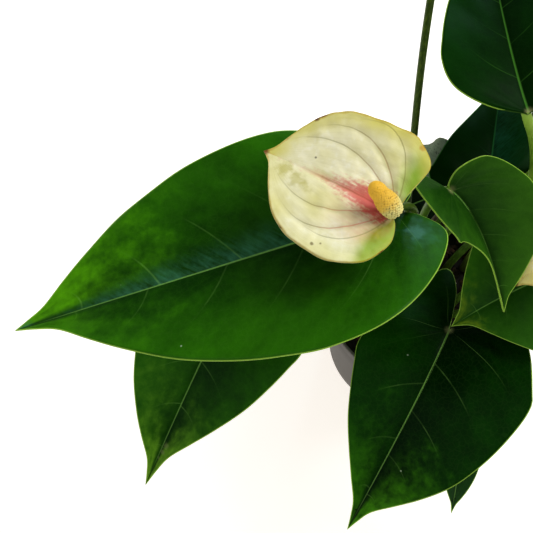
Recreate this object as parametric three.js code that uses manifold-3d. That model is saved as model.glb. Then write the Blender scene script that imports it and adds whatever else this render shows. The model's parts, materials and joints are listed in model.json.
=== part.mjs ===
// A potted anthurium: heart-shaped leaves and cream flowers on long stalks that rise from one short
// stem, in potting mix, in a plain tapered pot. Millimetres, +Z up, origin at the middle of the pot's foot.
// The plant leans out over the pot's front left (-X, -Y), and fills out on its right and back.

import * as THREE from "three";
import { mergeVertices } from "three/addons/utils/BufferGeometryUtils.js";
import Module from "manifold-3d";

const wasm = await Module();
wasm.setup();

// Pot and potting mix
const POT_HEIGHT = 100;
const POT_RIM_RADIUS = 62.5;
const POT_FOOT_RADIUS = 54;
const POT_WALL = 2.4;
const POT_FLOOR = 3;
const POT_SIDES = 40;
const DRAIN_RADIUS = 4;
const DRAIN_RING = 27;
const DRAIN_COUNT = 5;
const MIX_TOP = 86;
const MIX_MOUND = 4;
const MIX_RINGS = [0.93, 0.62, 0.3];

// Stem and roots, under the stalks
const STEM_RADIUS = 8;
const STEM_TOP = 101;
const STEM_FOOT = 52;
const ROOT_RADIUS = 2;
const ROOT_COUNT = 5;

// Stalks
const LEAF_STALK_RADIUS = 2.5;
const FLOWER_STALK_RADIUS = 2.1;
const STALK_FOOT = 81;
const STALK_SIDES = 7;
const STALK_STEPS = 9;
const KNEE_LEAN = 0.4;
const KNEE_REACH = 32;
const SEAT_INSET = 1.5;
const LEAN_ROOM = 0.9;
const OUTER_RING = 22.5;
const INNER_RING = 15;
const HOLE_ROOM = 1.15;

// Blades
const LEAF_THICKNESS = 0.9;
const SPATHE_THICKNESS = 0.8;
const MIDRIB_KEEL = 0.9;
const LEAF_ROWS = 11;
const LEAF_COLUMNS = 8;
const VEIN_SWEEP = 0.28;
const SHOULDER = 0.56;

// Spadix
const SPADIX_SIDES = 10;
const SPADIX_ROWS = 9;
const SPADIX_RELIEF = 0.45;
const SPADIX_NECK = 0.78;
const SPADIX_SHOULDER = 0.72;
const SPADIX_SET_BACK = 0.7;

// Gap between pieces that touch on the plant
const SEAT_GAP = 0.35;

const COLOURS = {
  leaf: 0x2c5a1a,
  deepLeaf: 0x1d4216,
  youngLeaf: 0x5c7d2a,
  leafStalk: 0x4f6a2c,
  flowerStalk: 0x35511f,
  spathe: 0xe8e4c0,
  spadix: 0xe3ae3c,
  withered: 0x6f7263,
  stem: 0x6b5a36,
  mix: 0x2b221b,
  pot: 0x6d675f,
};

const UP = new THREE.Vector3(0, 0, 1);
const vector = ([x, y, z]) => new THREE.Vector3(x, y, z);
const radians = THREE.MathUtils.degToRad;

// How far a blade's half narrows from its widest place (0) to its tip (1): [way, share of the width].
const TAPER = [
  [0.15, 0.94],
  [0.3, 0.84],
  [0.45, 0.7],
  [0.6, 0.49],
  [0.72, 0.3],
  [0.83, 0.125],
  [0.92, 0.05],
];

// One half of a heart-shaped outline as a flat curve: x across the blade, y along it.
// It starts at the stalk, goes back round the lobe, out to the widest place and in to the tip.
function halfOutline({ width, lobe, heel, shoulder, belly, full }, length) {
  const points = [
    [0, 0],
    [0.12 * width, -0.7 * lobe],
    [0.38 * width, -lobe],
    [0.75 * width, heel ?? 0.055 - 0.45 * lobe],
    [0.95 * width, (shoulder ?? SHOULDER) * belly],
    [width, belly],
  ];
  for (const [way, share] of TAPER) {
    points.push([share * width, belly + (1 - belly) * way ** (1 / full)]);
  }
  points.push([0, 1]);
  return new THREE.SplineCurve(points.map(([x, y]) => new THREE.Vector2(x, y * length)));
}

// The bent sheet that a blade lies in. Its midrib is a curve from stalk to tip, and each half rises
// from it by a fold angle, sags by a cup and waves towards its edge.
class BladeSheet {
  constructor(blade) {
    this.blade = blade;
    const [base, bend, tip] = blade.rib.map(vector);
    this.rib = new THREE.QuadraticBezierCurve3(base, bend, tip);
    this.length = this.rib.getLength();
    const chord = tip.clone().sub(base).normalize();
    const side = chord.clone().cross(UP).normalize();
    const roll = radians(blade.roll ?? 0);
    this.normal = side
      .clone()
      .cross(chord)
      .multiplyScalar(Math.cos(roll))
      .addScaledVector(side, Math.sin(roll));
    this.halves = [blade.left, blade.right].map((half) => halfOutline(half, this.length));
  }

  // Point of the midrib at a share of its length, with the directions along, across and up there.
  frameAt(share) {
    const way = THREE.MathUtils.clamp(share, 0, 1);
    const along = this.rib.getTangentAt(way);
    const across = along.clone().cross(this.normal).normalize();
    const up = across.clone().cross(along);
    return { origin: this.rib.getPointAt(way), along, across, up };
  }

  // u runs from the left edge (-1) over the midrib (0) to the right edge (1), v from stalk to tip.
  pointAt(u, v) {
    const { blade } = this;
    const right = u >= 0;
    const half = right ? blade.right : blade.left;
    const edge = this.halves[right ? 1 : 0].getPointAt(v);
    const start = Math.max(0, edge.y - (VEIN_SWEEP * this.length * edge.x) / half.width);
    const reach = Math.abs(u);
    const y = THREE.MathUtils.lerp(start, edge.y, reach);
    const x = edge.x * reach;
    const fold = radians(half.fold);
    const wave = Math.sin(2 * Math.PI * (blade.waves * v + (right ? 0.15 : 0.55)));
    const sag = (half.cup * x * x) / half.width;
    const rise = x * Math.sin(fold) - sag + blade.wave * wave * reach ** 2 * Math.sin(Math.PI * v);
    const { origin, along, across, up } = this.frameAt(y / this.length);
    return origin
      .addScaledVector(along, Math.min(y, 0))
      .addScaledVector(across, Math.sign(u) * x * Math.cos(fold))
      .addScaledVector(up, rise);
  }
}

// Closed solid from triangles that may have collapsed where a grid runs into a point.
function closedGeometry(positions, triangles) {
  const loose = new THREE.BufferGeometry();
  loose.setAttribute("position", new THREE.Float32BufferAttribute(positions, 3));
  loose.setIndex(triangles);
  const merged = mergeVertices(loose, 1e-3);
  const kept = [];
  const index = merged.index.array;
  for (let i = 0; i < index.length; i += 3) {
    const [a, b, c] = index.slice(i, i + 3);
    if (a !== b && b !== c && c !== a) {
      kept.push(a, b, c);
    }
  }
  merged.setIndex(kept);
  merged.computeVertexNormals();
  return merged;
}

// Blade solid: the sheet as a top face, the same grid again below it, and a wall round the edge.
function bladeGeometry(blade, { thickness, keel, rows, columns }) {
  const sheet = new BladeSheet(blade);
  const grid = new THREE.PlaneGeometry(2, 1, columns, rows);
  const place = grid.getAttribute("position");
  const top = [];
  const bottom = [];
  for (let i = 0; i < place.count; i += 1) {
    const u = place.getX(i);
    const v = place.getY(i) + 0.5;
    const point = sheet.pointAt(u, v);
    const fold = radians(u >= 0 ? blade.right.fold : blade.left.fold);
    const ridge = keel * (1 - 0.7 * v) * (Math.abs(u) < 0.01 ? 1 : 0);
    const depth = thickness / Math.cos(fold) + ridge;
    top.push(...point);
    bottom.push(...point.clone().addScaledVector(sheet.normal, -depth));
  }
  const count = place.count;
  const faces = [...grid.index.array];
  const triangles = [...faces];
  for (let i = 0; i < faces.length; i += 3) {
    triangles.push(faces[i] + count, faces[i + 2] + count, faces[i + 1] + count);
  }
  const line = columns + 1;
  const corner = rows * line;
  const loop = [];
  for (let row = 0; row < rows; row += 1) {
    loop.push(row * line);
  }
  for (let column = 0; column < columns; column += 1) {
    loop.push(corner + column);
  }
  for (let row = rows; row > 0; row -= 1) {
    loop.push(row * line + columns);
  }
  for (let column = columns; column > 0; column -= 1) {
    loop.push(column);
  }
  loop.forEach((here, i) => {
    const next = loop[(i + 1) % loop.length];
    triangles.push(here, here + count, next + count);
    triangles.push(here, next + count, next);
  });
  return closedGeometry([...top, ...bottom], triangles);
}

// Round tube along a curve, with flat ends.
function tubeGeometry(path, radius, sides = STALK_SIDES, steps = STALK_STEPS) {
  const corners = [];
  for (let i = 0; i < sides; i += 1) {
    const angle = (2 * Math.PI * i) / sides;
    corners.push(new THREE.Vector2(radius * Math.cos(angle), radius * Math.sin(angle)));
  }
  return new THREE.ExtrudeGeometry(new THREE.Shape(corners), { steps, extrudePath: path });
}

// Stalk foot in the mix, on a ring round the stem.
function footAt(ring, degrees) {
  const angle = radians(degrees);
  return new THREE.Vector3(ring * Math.cos(angle), ring * Math.sin(angle), STALK_FOOT);
}

// A stalk rises straight from its foot and turns at a knee to come up under its blade. It ends just
// below the blade, a little in from the notch between the lobes, low enough to clear it if it leans.
function stalkPath(blade, radius, thickness, keel) {
  const { foot, rise, knee } = blade.stalk;
  const start = footAt(...foot);
  const { origin, along, up } = new BladeSheet(blade).frameAt(0);
  const approach = origin.clone().sub(start).normalize();
  const arrival = knee ? origin.clone().sub(vector(knee)) : up.clone().lerp(approach, KNEE_LEAN);
  arrival.normalize();
  const fold = radians(Math.max(blade.left.fold, blade.right.fold));
  const lean = radius * arrival.clone().cross(up).length();
  const depth = thickness / Math.cos(fold) + keel + SEAT_GAP + LEAN_ROOM * lean;
  const seat = origin.addScaledVector(along, SEAT_INSET).addScaledVector(up, -depth);
  const bend = knee ? vector(knee) : seat.clone().addScaledVector(arrival, -KNEE_REACH);
  return new THREE.CubicBezierCurve3(start, start.clone().setZ(STALK_FOOT + rise), bend, seat);
}

// Spadix: a blunt spike of revolution, set with raised beads in staggered rows.
function spadixGeometry({ length, radius }) {
  const profile = [new THREE.Vector2(0, 0)];
  for (let i = 0; i <= SPADIX_ROWS; i += 1) {
    const way = i / SPADIX_ROWS;
    const blunt = Math.max(0, (way - SPADIX_SHOULDER) / 0.3);
    const swell = (1 - SPADIX_NECK) * Math.sin(Math.PI * Math.min(1, way * 1.6));
    const girth = radius * (SPADIX_NECK + swell) * Math.sqrt(Math.max(0, 1 - blunt ** 2));
    profile.push(new THREE.Vector2(girth, way * length * 0.97));
  }
  profile.push(new THREE.Vector2(0, length));
  const spike = new THREE.LatheGeometry(profile, SPADIX_SIDES);
  const place = spike.getAttribute("position");
  const rings = profile.length;
  for (let i = 0; i < place.count; i += 1) {
    const ring = i % rings;
    const side = Math.floor(i / rings) % SPADIX_SIDES;
    if (ring > 0 && ring < rings - 1 && (ring + side) % 2 === 0) {
      const reach = Math.hypot(place.getX(i), place.getZ(i));
      const grown = (reach + SPADIX_RELIEF) / reach;
      place.setXYZ(i, place.getX(i) * grown, place.getY(i), place.getZ(i) * grown);
    }
  }
  return spike;
}

// Solid for a boolean, and back.
function solidOf(geometry, matrix = new THREE.Matrix4()) {
  const bare = new THREE.BufferGeometry();
  bare.setAttribute("position", geometry.getAttribute("position").clone());
  bare.setIndex(geometry.index);
  bare.applyMatrix4(matrix);
  const merged = mergeVertices(bare, 1e-4);
  const mesh = new wasm.Mesh({
    numProp: 3,
    vertProperties: merged.getAttribute("position").array,
    triVerts: new Uint32Array(merged.index.array),
  });
  return new wasm.Manifold(mesh);
}

function geometryOf(solid) {
  const { vertProperties, triVerts } = solid.getMesh();
  const geometry = new THREE.BufferGeometry();
  geometry.setAttribute("position", new THREE.BufferAttribute(vertProperties, 3));
  geometry.setIndex(new THREE.BufferAttribute(triVerts, 1));
  geometry.computeVertexNormals();
  return geometry;
}

// A cylinder that stands on end, for holes and the like.
function uprightCylinder(radius, bottom, top, x, y, sides = 12) {
  const cylinder = new THREE.CylinderGeometry(radius, radius, top - bottom, sides);
  const stand = new THREE.Matrix4().makeRotationX(Math.PI / 2);
  const move = new THREE.Matrix4().makeTranslation(x, y, (top + bottom) / 2);
  return solidOf(cylinder, move.multiply(stand));
}

// Lathe work turned so that its axis is +Z.
function turned(profile, sides) {
  const points = profile.map(([radius, height]) => new THREE.Vector2(radius, height));
  return new THREE.LatheGeometry(points, sides).rotateX(Math.PI / 2);
}

// Leaves. Each half has its widest reach in mm, the depth of its lobe and the place of its widest
// part as shares of the length, how full it stays towards the tip, and its fold in degrees. A heel and
// a shoulder, where they are given, set how round the outline is between lobe and widest part.
const half = (width, lobe, belly, full, fold, cup = 0.08) => ({ width, lobe, belly, full, fold, cup });

const LEAVES = {
  front_left_big: {
    rib: [[-39, -32, 300], [-113, -63, 315], [-231, -76, 250]],
    left: { ...half(62, 0.075, 0.25, 0.92, 16.5, 0.03), heel: 0.035 },
    right: { ...half(60, 0.085, 0.245, 1.35, 4, 0.03), heel: -0.04 },
    wave: 2,
    waves: 2.2,
    stalk: { foot: [OUTER_RING, 214], rise: 95 },
  },
  left_low: {
    rib: [[-114, -24, 200], [-139, -76, 200], [-173, -135, 140]],
    left: half(51.5, 0.1, 0.2, 0.79, 11),
    right: half(45.5, 0.1, 0.2, 1.1, 11.5),
    wave: 2,
    waves: 2.5,
    stalk: { foot: [OUTER_RING, 188], rise: 95 },
  },
  front_low: {
    rib: [[7, -49, 170], [-12, -90, 184], [-52, -156, 100]],
    left: { ...half(61, 0.14, 0.175, 0.96, 11, 0.06), shoulder: 0.68 },
    right: half(46, 0.31, 0.22, 0.82, 7, 0.06),
    roll: 5,
    wave: 2,
    waves: 2.5,
    stalk: { foot: [OUTER_RING, 266], rise: 45 },
  },
  front_lowest: {
    rib: [[18, -84, 126], [21, -106, 122], [19, -141, 68]],
    left: half(16, 0.1, 0.2, 1.15, 14),
    right: half(14, 0.1, 0.2, 1.15, 14),
    wave: 1,
    waves: 2,
    stalk: { foot: [OUTER_RING, 290], rise: 48 },
  },
  centre_folded: {
    rib: [[-6, -6, 271], [15, -12, 253], [32, -51, 207]],
    left: { ...half(36, 0.065, 0.28, 1.07, 36.5, 0.05), heel: 0, shoulder: 0.6 },
    right: { ...half(36, 0.36, 0.09, 0.5, 44.5, 0.05), heel: -0.145, shoulder: 0.62 },
    roll: -6,
    wave: 2,
    waves: 1.5,
    stalk: { foot: [INNER_RING, 120], rise: 90 },
  },
  right_low: {
    rib: [[82, -20, 207], [37, -36, 209], [7, -49, 176]],
    left: half(52, 0.1, 0.245, 0.93, 9.5),
    right: half(51.5, 0.1, 0.25, 1, 2.5),
    roll: -12,
    wave: 2,
    waves: 2.3,
    stalk: { foot: [OUTER_RING, 338], rise: 85 },
  },
  back_top: {
    rib: [[31, 23, 300], [21, 45, 311], [23, 167, 278]],
    left: { ...half(38, -0.036, 0.225, 0.83, 10), heel: 0.086, shoulder: 0.63 },
    right: half(38, -0.02, 0.22, 1.1, 10),
    roll: -2,
    wave: 1.5,
    waves: 2,
    stalk: { foot: [50, 18], rise: 90, knee: [66, 26, 210] },
  },
  back_dark: {
    rib: [[23, 9, 230], [25, 39, 245], [44, 105, 210]],
    left: half(36, 0.075, 0.103, 0.535, 12),
    right: { ...half(22.5, 0.027, 0.335, 0.71, 11), heel: 0.167 },
    wave: 1,
    waves: 2,
    stalk: { foot: [INNER_RING, 84], rise: 70 },
  },
  inner_low: {
    rib: [[-20, 48, 120], [4, 60, 128], [44, 78, 110]],
    left: half(24, 0.1, 0.22, 1, 12),
    right: half(22, 0.1, 0.22, 1, 12),
    wave: 1,
    waves: 2,
    stalk: { foot: [OUTER_RING, 150], rise: 38 },
  },
  right_high: {
    rib: [[97, 47, 252], [140, 52, 268], [214, 60, 214]],
    left: half(50, 0.11, 0.2, 1.05, 12),
    right: half(50, 0.11, 0.2, 1.05, 12),
    wave: 2.5,
    waves: 2.4,
    stalk: { foot: [25, 42], rise: 90 },
  },
  back_right: {
    rib: [[64, 104, 238], [92, 136, 250], [132, 198, 194]],
    left: half(46, 0.11, 0.2, 1.05, 12),
    right: half(46, 0.11, 0.2, 1.05, 12),
    wave: 2,
    waves: 2.6,
    stalk: { foot: [OUTER_RING, 66], rise: 105 },
  },
  back_low: {
    rib: [[36, 166, 214], [30, 205, 222], [2, 262, 166]],
    left: half(42, 0.1, 0.2, 1.0, 12),
    right: half(42, 0.1, 0.2, 1.0, 12),
    wave: 2,
    waves: 2.2,
    stalk: { foot: [OUTER_RING, 90], rise: 100, knee: [75, 118, 185] },
  },
  right_front: {
    rib: [[108, -70, 178], [140, -96, 186], [188, -150, 124]],
    left: half(46, 0.11, 0.2, 1.0, 12),
    right: half(46, 0.11, 0.2, 1.0, 12),
    wave: 2,
    waves: 2.4,
    stalk: { foot: [OUTER_RING, 314], rise: 90 },
  },
  young: {
    rib: [[72, 84, 290], [84, 94, 320], [104, 108, 350]],
    left: half(19, 0.08, 0.22, 1.0, 30),
    right: half(19, 0.08, 0.22, 1.0, 30),
    wave: 1,
    waves: 1.5,
    stalk: { foot: [43, 34], rise: 100, knee: [90, 66, 230] },
  },
};

const DARK_LEAVES = ["front_low", "front_lowest", "back_dark", "inner_low", "back_low"];

// Flowers: the spathe is a nearly round blade, and the spadix stands at its notch.
const FLOWERS = {
  front: {
    rib: [[-45, -47, 330], [-67, -35, 335], [-103, -15, 330]],
    left: { ...half(37, 0.086, 0.3, 1.63, 6.5, 0), heel: 0.006 },
    right: { ...half(37, 0.038, 0.15, 2.25, 8, 0), heel: -0.075, shoulder: 0.31 },
    roll: -3,
    wave: 0.8,
    waves: 2,
    stalk: { foot: [INNER_RING, 186], rise: 120, knee: [-21, -22, 310] },
    spadix: { length: 20.6, radius: 5.2, towards: [-15, 8, 20] },
  },
  back: {
    rib: [[-15, 94, 396], [-14, 120, 404], [-7, 160, 398]],
    left: half(37, 0.08, 0.3, 1.9, 8, 0),
    right: half(37, 0.08, 0.3, 1.9, 8, 0),
    wave: 0.8,
    waves: 2,
    stalk: { foot: [INNER_RING, 150], rise: 110, knee: [-33, 44, 320] },
    spadix: { length: 32, radius: 5, towards: [0, -6, 31] },
  },
  right: {
    rib: [[92, 6, 252], [70, -14, 248], [37, -38, 213]],
    left: half(30, 0.08, 0.3, 1.6, 10, 0),
    right: half(30, 0.08, 0.3, 1.6, 10, 0),
    wave: 0.8,
    waves: 2,
    stalk: { foot: [45, 352], rise: 100, knee: [90, 44, 226] },
    spadix: { length: 28, radius: 4.8, towards: [3, 2, 27] },
  },
  high: {
    rib: [[72, 140, 360], [88, 160, 370], [114, 192, 364]],
    left: half(36, 0.08, 0.3, 1.9, 8, 0),
    right: half(36, 0.08, 0.3, 1.9, 8, 0),
    wave: 0.8,
    waves: 2,
    stalk: { foot: [50, 45], rise: 120, knee: [86, 96, 290] },
    spadix: { length: 32, radius: 5, towards: [-4, 6, 31] },
  },
};

// Withered leaf, crumpled behind the front flower.
const WITHERED = {
  rib: [[23, 40, 189], [2, 58, 194], [-14, 80, 160]],
  left: half(22, 0.1, 0.25, 1.2, 14),
  right: half(16, 0.1, 0.25, 1.2, 14),
  wave: 3,
  waves: 3.4,
  stalk: { foot: [OUTER_RING, 116], rise: 60 },
};

const plant = new THREE.Group();

function addMesh(name, geometry, colour, roughness) {
  const material = new THREE.MeshStandardMaterial({ color: colour, roughness, metalness: 0 });
  const mesh = new THREE.Mesh(geometry, material);
  mesh.name = name;
  plant.add(mesh);
  return mesh;
}

// Pot: a tapered shell with a flat foot and drain holes clear of its middle.
function potGeometry() {
  const slope = (POT_RIM_RADIUS - POT_FOOT_RADIUS) / POT_HEIGHT;
  const innerFoot = POT_FOOT_RADIUS + slope * POT_FLOOR - POT_WALL;
  const shell = turned(
    [
      [0, 0],
      [POT_FOOT_RADIUS - 1, 0],
      [POT_FOOT_RADIUS, 1],
      [POT_RIM_RADIUS - 0.2, POT_HEIGHT - 1],
      [POT_RIM_RADIUS - 0.8, POT_HEIGHT],
      [POT_RIM_RADIUS - POT_WALL + 0.4, POT_HEIGHT],
      [POT_RIM_RADIUS - POT_WALL, POT_HEIGHT - 1],
      [innerFoot, POT_FLOOR],
      [0, POT_FLOOR],
    ],
    POT_SIDES,
  );
  let solid = solidOf(shell);
  for (let i = 0; i < DRAIN_COUNT; i += 1) {
    const angle = (2 * Math.PI * i) / DRAIN_COUNT;
    const x = DRAIN_RING * Math.cos(angle);
    const y = DRAIN_RING * Math.sin(angle);
    solid = solid.subtract(uprightCylinder(DRAIN_RADIUS, -1, POT_FLOOR + 1, x, y));
  }
  return geometryOf(solid);
}

// Stem with roots. The same shape, grown by a clearance, is the hole it fills in the mix.
function stemSolid(clearance) {
  const neck = STEM_RADIUS * 0.86 + clearance;
  const full = STEM_RADIUS + clearance;
  const stem = turned(
    [
      [0, STEM_FOOT - clearance],
      [full * 0.6, STEM_FOOT - clearance],
      [full, STEM_FOOT + 8],
      [neck, 72],
      [full, 80],
      [neck, 88],
      [full * 0.9, 94],
      [full * 0.55, STEM_TOP],
      [0, STEM_TOP + clearance],
    ],
    12,
  );
  let solid = solidOf(stem);
  for (let i = 0; i < ROOT_COUNT; i += 1) {
    const angle = (2 * Math.PI * (i + 0.3)) / ROOT_COUNT;
    const reach = 36 + clearance;
    const drop = 14 + 5 * (i % 3);
    const start = new THREE.Vector3(0, 0, STEM_FOOT + 10);
    const bend = new THREE.Vector3(18 * Math.cos(angle), 18 * Math.sin(angle), STEM_FOOT + 8);
    const end = new THREE.Vector3(reach * Math.cos(angle), reach * Math.sin(angle), STEM_FOOT - drop);
    const path = new THREE.QuadraticBezierCurve3(start, bend, end);
    solid = solid.add(solidOf(tubeGeometry(path, ROOT_RADIUS + 1.3 * clearance, 6, 5)));
  }
  return solid;
}

// Potting mix: a plug that fills the pot, with an uneven top and a plain hole for each stalk.
function mixGeometry(feet) {
  const slope = (POT_RIM_RADIUS - POT_FOOT_RADIUS) / POT_HEIGHT;
  const innerAt = (z) => POT_FOOT_RADIUS + slope * z - POT_WALL - SEAT_GAP - 0.15;
  const floor = POT_FLOOR + SEAT_GAP;
  const topRadius = innerAt(MIX_TOP);
  const profile = [
    [0, floor],
    [innerAt(floor) - 0.5, floor],
    [topRadius, MIX_TOP],
    ...MIX_RINGS.map((share) => [share * topRadius, MIX_TOP + MIX_MOUND * (1 - share)]),
    [0, MIX_TOP + MIX_MOUND],
  ];
  const plug = turned(profile, 24);
  const place = plug.getAttribute("position");
  for (let i = 0; i < place.count; i += 1) {
    const reach = Math.hypot(place.getX(i), place.getY(i));
    if (place.getZ(i) > MIX_TOP + 0.1 && reach > 0.5) {
      const clod = Math.sin(0.31 * place.getX(i) + 1) * Math.sin(0.27 * place.getY(i) + 2);
      place.setZ(i, place.getZ(i) + 1.1 * clod);
    }
  }
  let solid = solidOf(plug).subtract(stemSolid(SEAT_GAP + 0.25));
  for (const { foot, radius } of feet) {
    const hole = uprightCylinder(radius + HOLE_ROOM, STALK_FOOT - SEAT_GAP, MIX_TOP + 12, foot.x, foot.y, 8);
    solid = solid.subtract(hole);
  }
  return geometryOf(solid);
}

const feet = [];

function addStalk(name, blade, radius, thickness, keel, colour) {
  addMesh(name, tubeGeometry(stalkPath(blade, radius, thickness, keel), radius), colour, 0.5);
  feet.push({ foot: footAt(...blade.stalk.foot), radius });
}

for (const [name, blade] of Object.entries(LEAVES)) {
  const fresh = name === "young" ? COLOURS.youngLeaf : COLOURS.leaf;
  const colour = DARK_LEAVES.includes(name) ? COLOURS.deepLeaf : fresh;
  const build = { thickness: LEAF_THICKNESS, keel: MIDRIB_KEEL, rows: LEAF_ROWS, columns: LEAF_COLUMNS };
  addMesh(`leaf_${name}`, bladeGeometry(blade, build), colour, 0.35);
  const stalk = `leaf_stalk_${name}`;
  addStalk(stalk, blade, LEAF_STALK_RADIUS, LEAF_THICKNESS, MIDRIB_KEEL, COLOURS.leafStalk);
}

for (const [name, flower] of Object.entries(FLOWERS)) {
  const build = { thickness: SPATHE_THICKNESS, keel: 0, rows: 10, columns: 8 };
  addMesh(`spathe_${name}`, bladeGeometry(flower, build), COLOURS.spathe, 0.4);
  const stalk = `flower_stalk_${name}`;
  addStalk(stalk, flower, FLOWER_STALK_RADIUS, SPATHE_THICKNESS, 0, COLOURS.flowerStalk);

  const spadix = addMesh(`spadix_${name}`, spadixGeometry(flower.spadix), COLOURS.spadix, 0.6);
  const { origin, along, up } = new BladeSheet(flower).frameAt(0);
  const axis = vector(flower.spadix.towards).normalize();
  spadix.quaternion.setFromUnitVectors(new THREE.Vector3(0, 1, 0), axis);
  const lean = SPADIX_NECK * flower.spadix.radius * Math.sqrt(1 - axis.dot(up) ** 2);
  const lift = SEAT_GAP + 0.15 + lean;
  spadix.position.copy(origin).addScaledVector(along, -SPADIX_SET_BACK).addScaledVector(up, lift);
}

const crumple = { thickness: LEAF_THICKNESS, keel: 0, rows: 12, columns: 8 };
addMesh("withered_leaf", bladeGeometry(WITHERED, crumple), COLOURS.withered, 0.8);
addStalk("withered_stalk", WITHERED, 1.8, LEAF_THICKNESS, 0, COLOURS.withered);

addMesh("stem", geometryOf(stemSolid(0)), COLOURS.stem, 0.8);
addMesh("potting_mix", mixGeometry(feet), COLOURS.mix, 0.95);
addMesh("pot", potGeometry(), COLOURS.pot, 0.6);

export default plant;
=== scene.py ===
"""A potted anthurium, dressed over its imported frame: glossy heart-shaped leaves and cream flowers on
long stalks, in bark and peat, in a plain tapered pot. Sizes are in millimetres, the scene in metres."""

from __future__ import annotations

import json
import logging
import math
import random
from bisect import bisect_left, bisect_right
from dataclasses import dataclass
from enum import Enum
from typing import Callable, ClassVar, Iterable, Sequence

import bmesh
import bpy
from mathutils import Matrix, Quaternion, Vector, noise
from mathutils.kdtree import KDTree

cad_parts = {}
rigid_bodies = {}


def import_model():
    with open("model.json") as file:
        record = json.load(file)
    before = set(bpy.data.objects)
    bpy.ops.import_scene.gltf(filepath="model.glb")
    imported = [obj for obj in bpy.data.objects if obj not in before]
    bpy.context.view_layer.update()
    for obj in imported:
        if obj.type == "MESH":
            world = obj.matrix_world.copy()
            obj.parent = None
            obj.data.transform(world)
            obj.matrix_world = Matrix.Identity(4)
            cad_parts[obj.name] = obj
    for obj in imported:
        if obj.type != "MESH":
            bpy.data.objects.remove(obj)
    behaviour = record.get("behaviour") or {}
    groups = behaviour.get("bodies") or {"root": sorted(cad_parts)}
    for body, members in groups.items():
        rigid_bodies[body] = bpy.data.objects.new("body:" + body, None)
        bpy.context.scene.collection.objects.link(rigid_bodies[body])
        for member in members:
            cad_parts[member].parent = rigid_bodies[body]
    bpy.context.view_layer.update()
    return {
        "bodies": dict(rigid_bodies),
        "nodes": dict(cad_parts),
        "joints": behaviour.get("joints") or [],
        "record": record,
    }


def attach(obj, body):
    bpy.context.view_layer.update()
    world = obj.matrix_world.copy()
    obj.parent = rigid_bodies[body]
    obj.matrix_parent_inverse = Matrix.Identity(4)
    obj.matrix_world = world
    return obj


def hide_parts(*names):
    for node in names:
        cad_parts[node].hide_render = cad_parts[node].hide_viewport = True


LOG = logging.getLogger("anthurium")

MM = 0.001
UP = Vector((0.0, 0.0, 1.0))
# Points closer than this, in mm, are merged.
MERGE = 0.002
# How strongly the waxy skins bend light.
WAX_IOR = 1.4

# Stalks, in mm: the gap to the blade, the height of their feet, the radii of the two rings that most of
# them stand in, how far in from the notch they meet a blade and how far they then run on, and, where
# no knee is given, how long before the blade they bend and how much they lean on their way there.
SEAT_GAP = 0.35
STALK_FOOT = 81.0
OUTER_RING = 22.5
INNER_RING = 15.0
SEAT_INSET = 1.5
OVERRUN = 0.9
KNEE_REACH = 32.0
KNEE_LEAN = 0.4

# Side veins: how far they sweep towards the tip, how many a leaf has and how much they bow.
VEIN_SWEEP = 0.28
LATERAL_VEINS = 9.0
VEIN_BOW = 0.12

Point = tuple[float, float, float]
Rib = tuple[Point, Point, Point]
Colour = tuple[float, float, float, float]
Mesh = bmesh.types.BMesh
Vert = bmesh.types.BMVert
Edge = bmesh.types.BMEdge
Material = bpy.types.Material


def lerp(start: float, end: float, way: float) -> float:
    """The number at a share of the way from start to end."""
    return start + (end - start) * way


def clamp(value: float, low: float = 0.0, high: float = 1.0) -> float:
    """The value, kept between low and high."""
    return max(low, min(high, value))


def paint(code: str) -> Colour:
    """Turns a screen colour into the linear one that shaders use.

    Args:
        code: six hexadecimal digits, two each for red, green and blue.

    Returns:
        Red, green, blue and an alpha of 1.
    """
    parts = [int(code[i : i + 2], 16) / 255 for i in (0, 2, 4)]
    linear = [p / 12.92 if p <= 0.04045 else ((p + 0.055) / 1.055) ** 2.4 for p in parts]
    return (linear[0], linear[1], linear[2], 1.0)


@dataclass(frozen=True)
class Wire:
    """A shader socket that Python's operators work on."""

    shader: Shader
    socket: bpy.types.NodeSocket

    def maths(self, operation: str, *others: Wire | float) -> Wire:
        """Adds a Math node with this wire as its first value."""
        return self.shader.node("ShaderNodeMath", {"operation": operation}, [self, *others])

    def __add__(self, other: Wire | float) -> Wire:
        """This plus other."""
        return self.maths("ADD", other)

    __radd__ = __add__

    def __mul__(self, other: Wire | float) -> Wire:
        """This times other."""
        return self.maths("MULTIPLY", other)

    def __sub__(self, other: Wire | float) -> Wire:
        """This minus other."""
        return self.maths("SUBTRACT", other)

    def __rsub__(self, other: float) -> Wire:
        """Other minus this."""
        return self * -1.0 + other

    def __truediv__(self, other: Wire | float) -> Wire:
        """This over other."""
        return self.maths("DIVIDE", other)

    def __abs__(self) -> Wire:
        """The size of this without its sign."""
        return self.maths("ABSOLUTE")

    def step(self, low: float, high: float) -> Wire:
        """A smooth step: 0 where this is at low or beyond it, 1 at high."""
        settings = {"interpolation_type": "SMOOTHSTEP"}
        if low <= high:
            return self.shader.node("ShaderNodeMapRange", settings, [self, low, high, 0.0, 1.0])
        return self.shader.node("ShaderNodeMapRange", settings, [self, high, low, 1.0, 0.0])

    def off_whole(self) -> Wire:
        """How far this is from the nearest whole number."""
        return abs((self + 0.5).maths("FRACT") - 0.5)

    def sine(self) -> Wire:
        """Sine of this, in radians."""
        return self.maths("SINE")


Value = Wire | float | str | Sequence[float]


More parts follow.
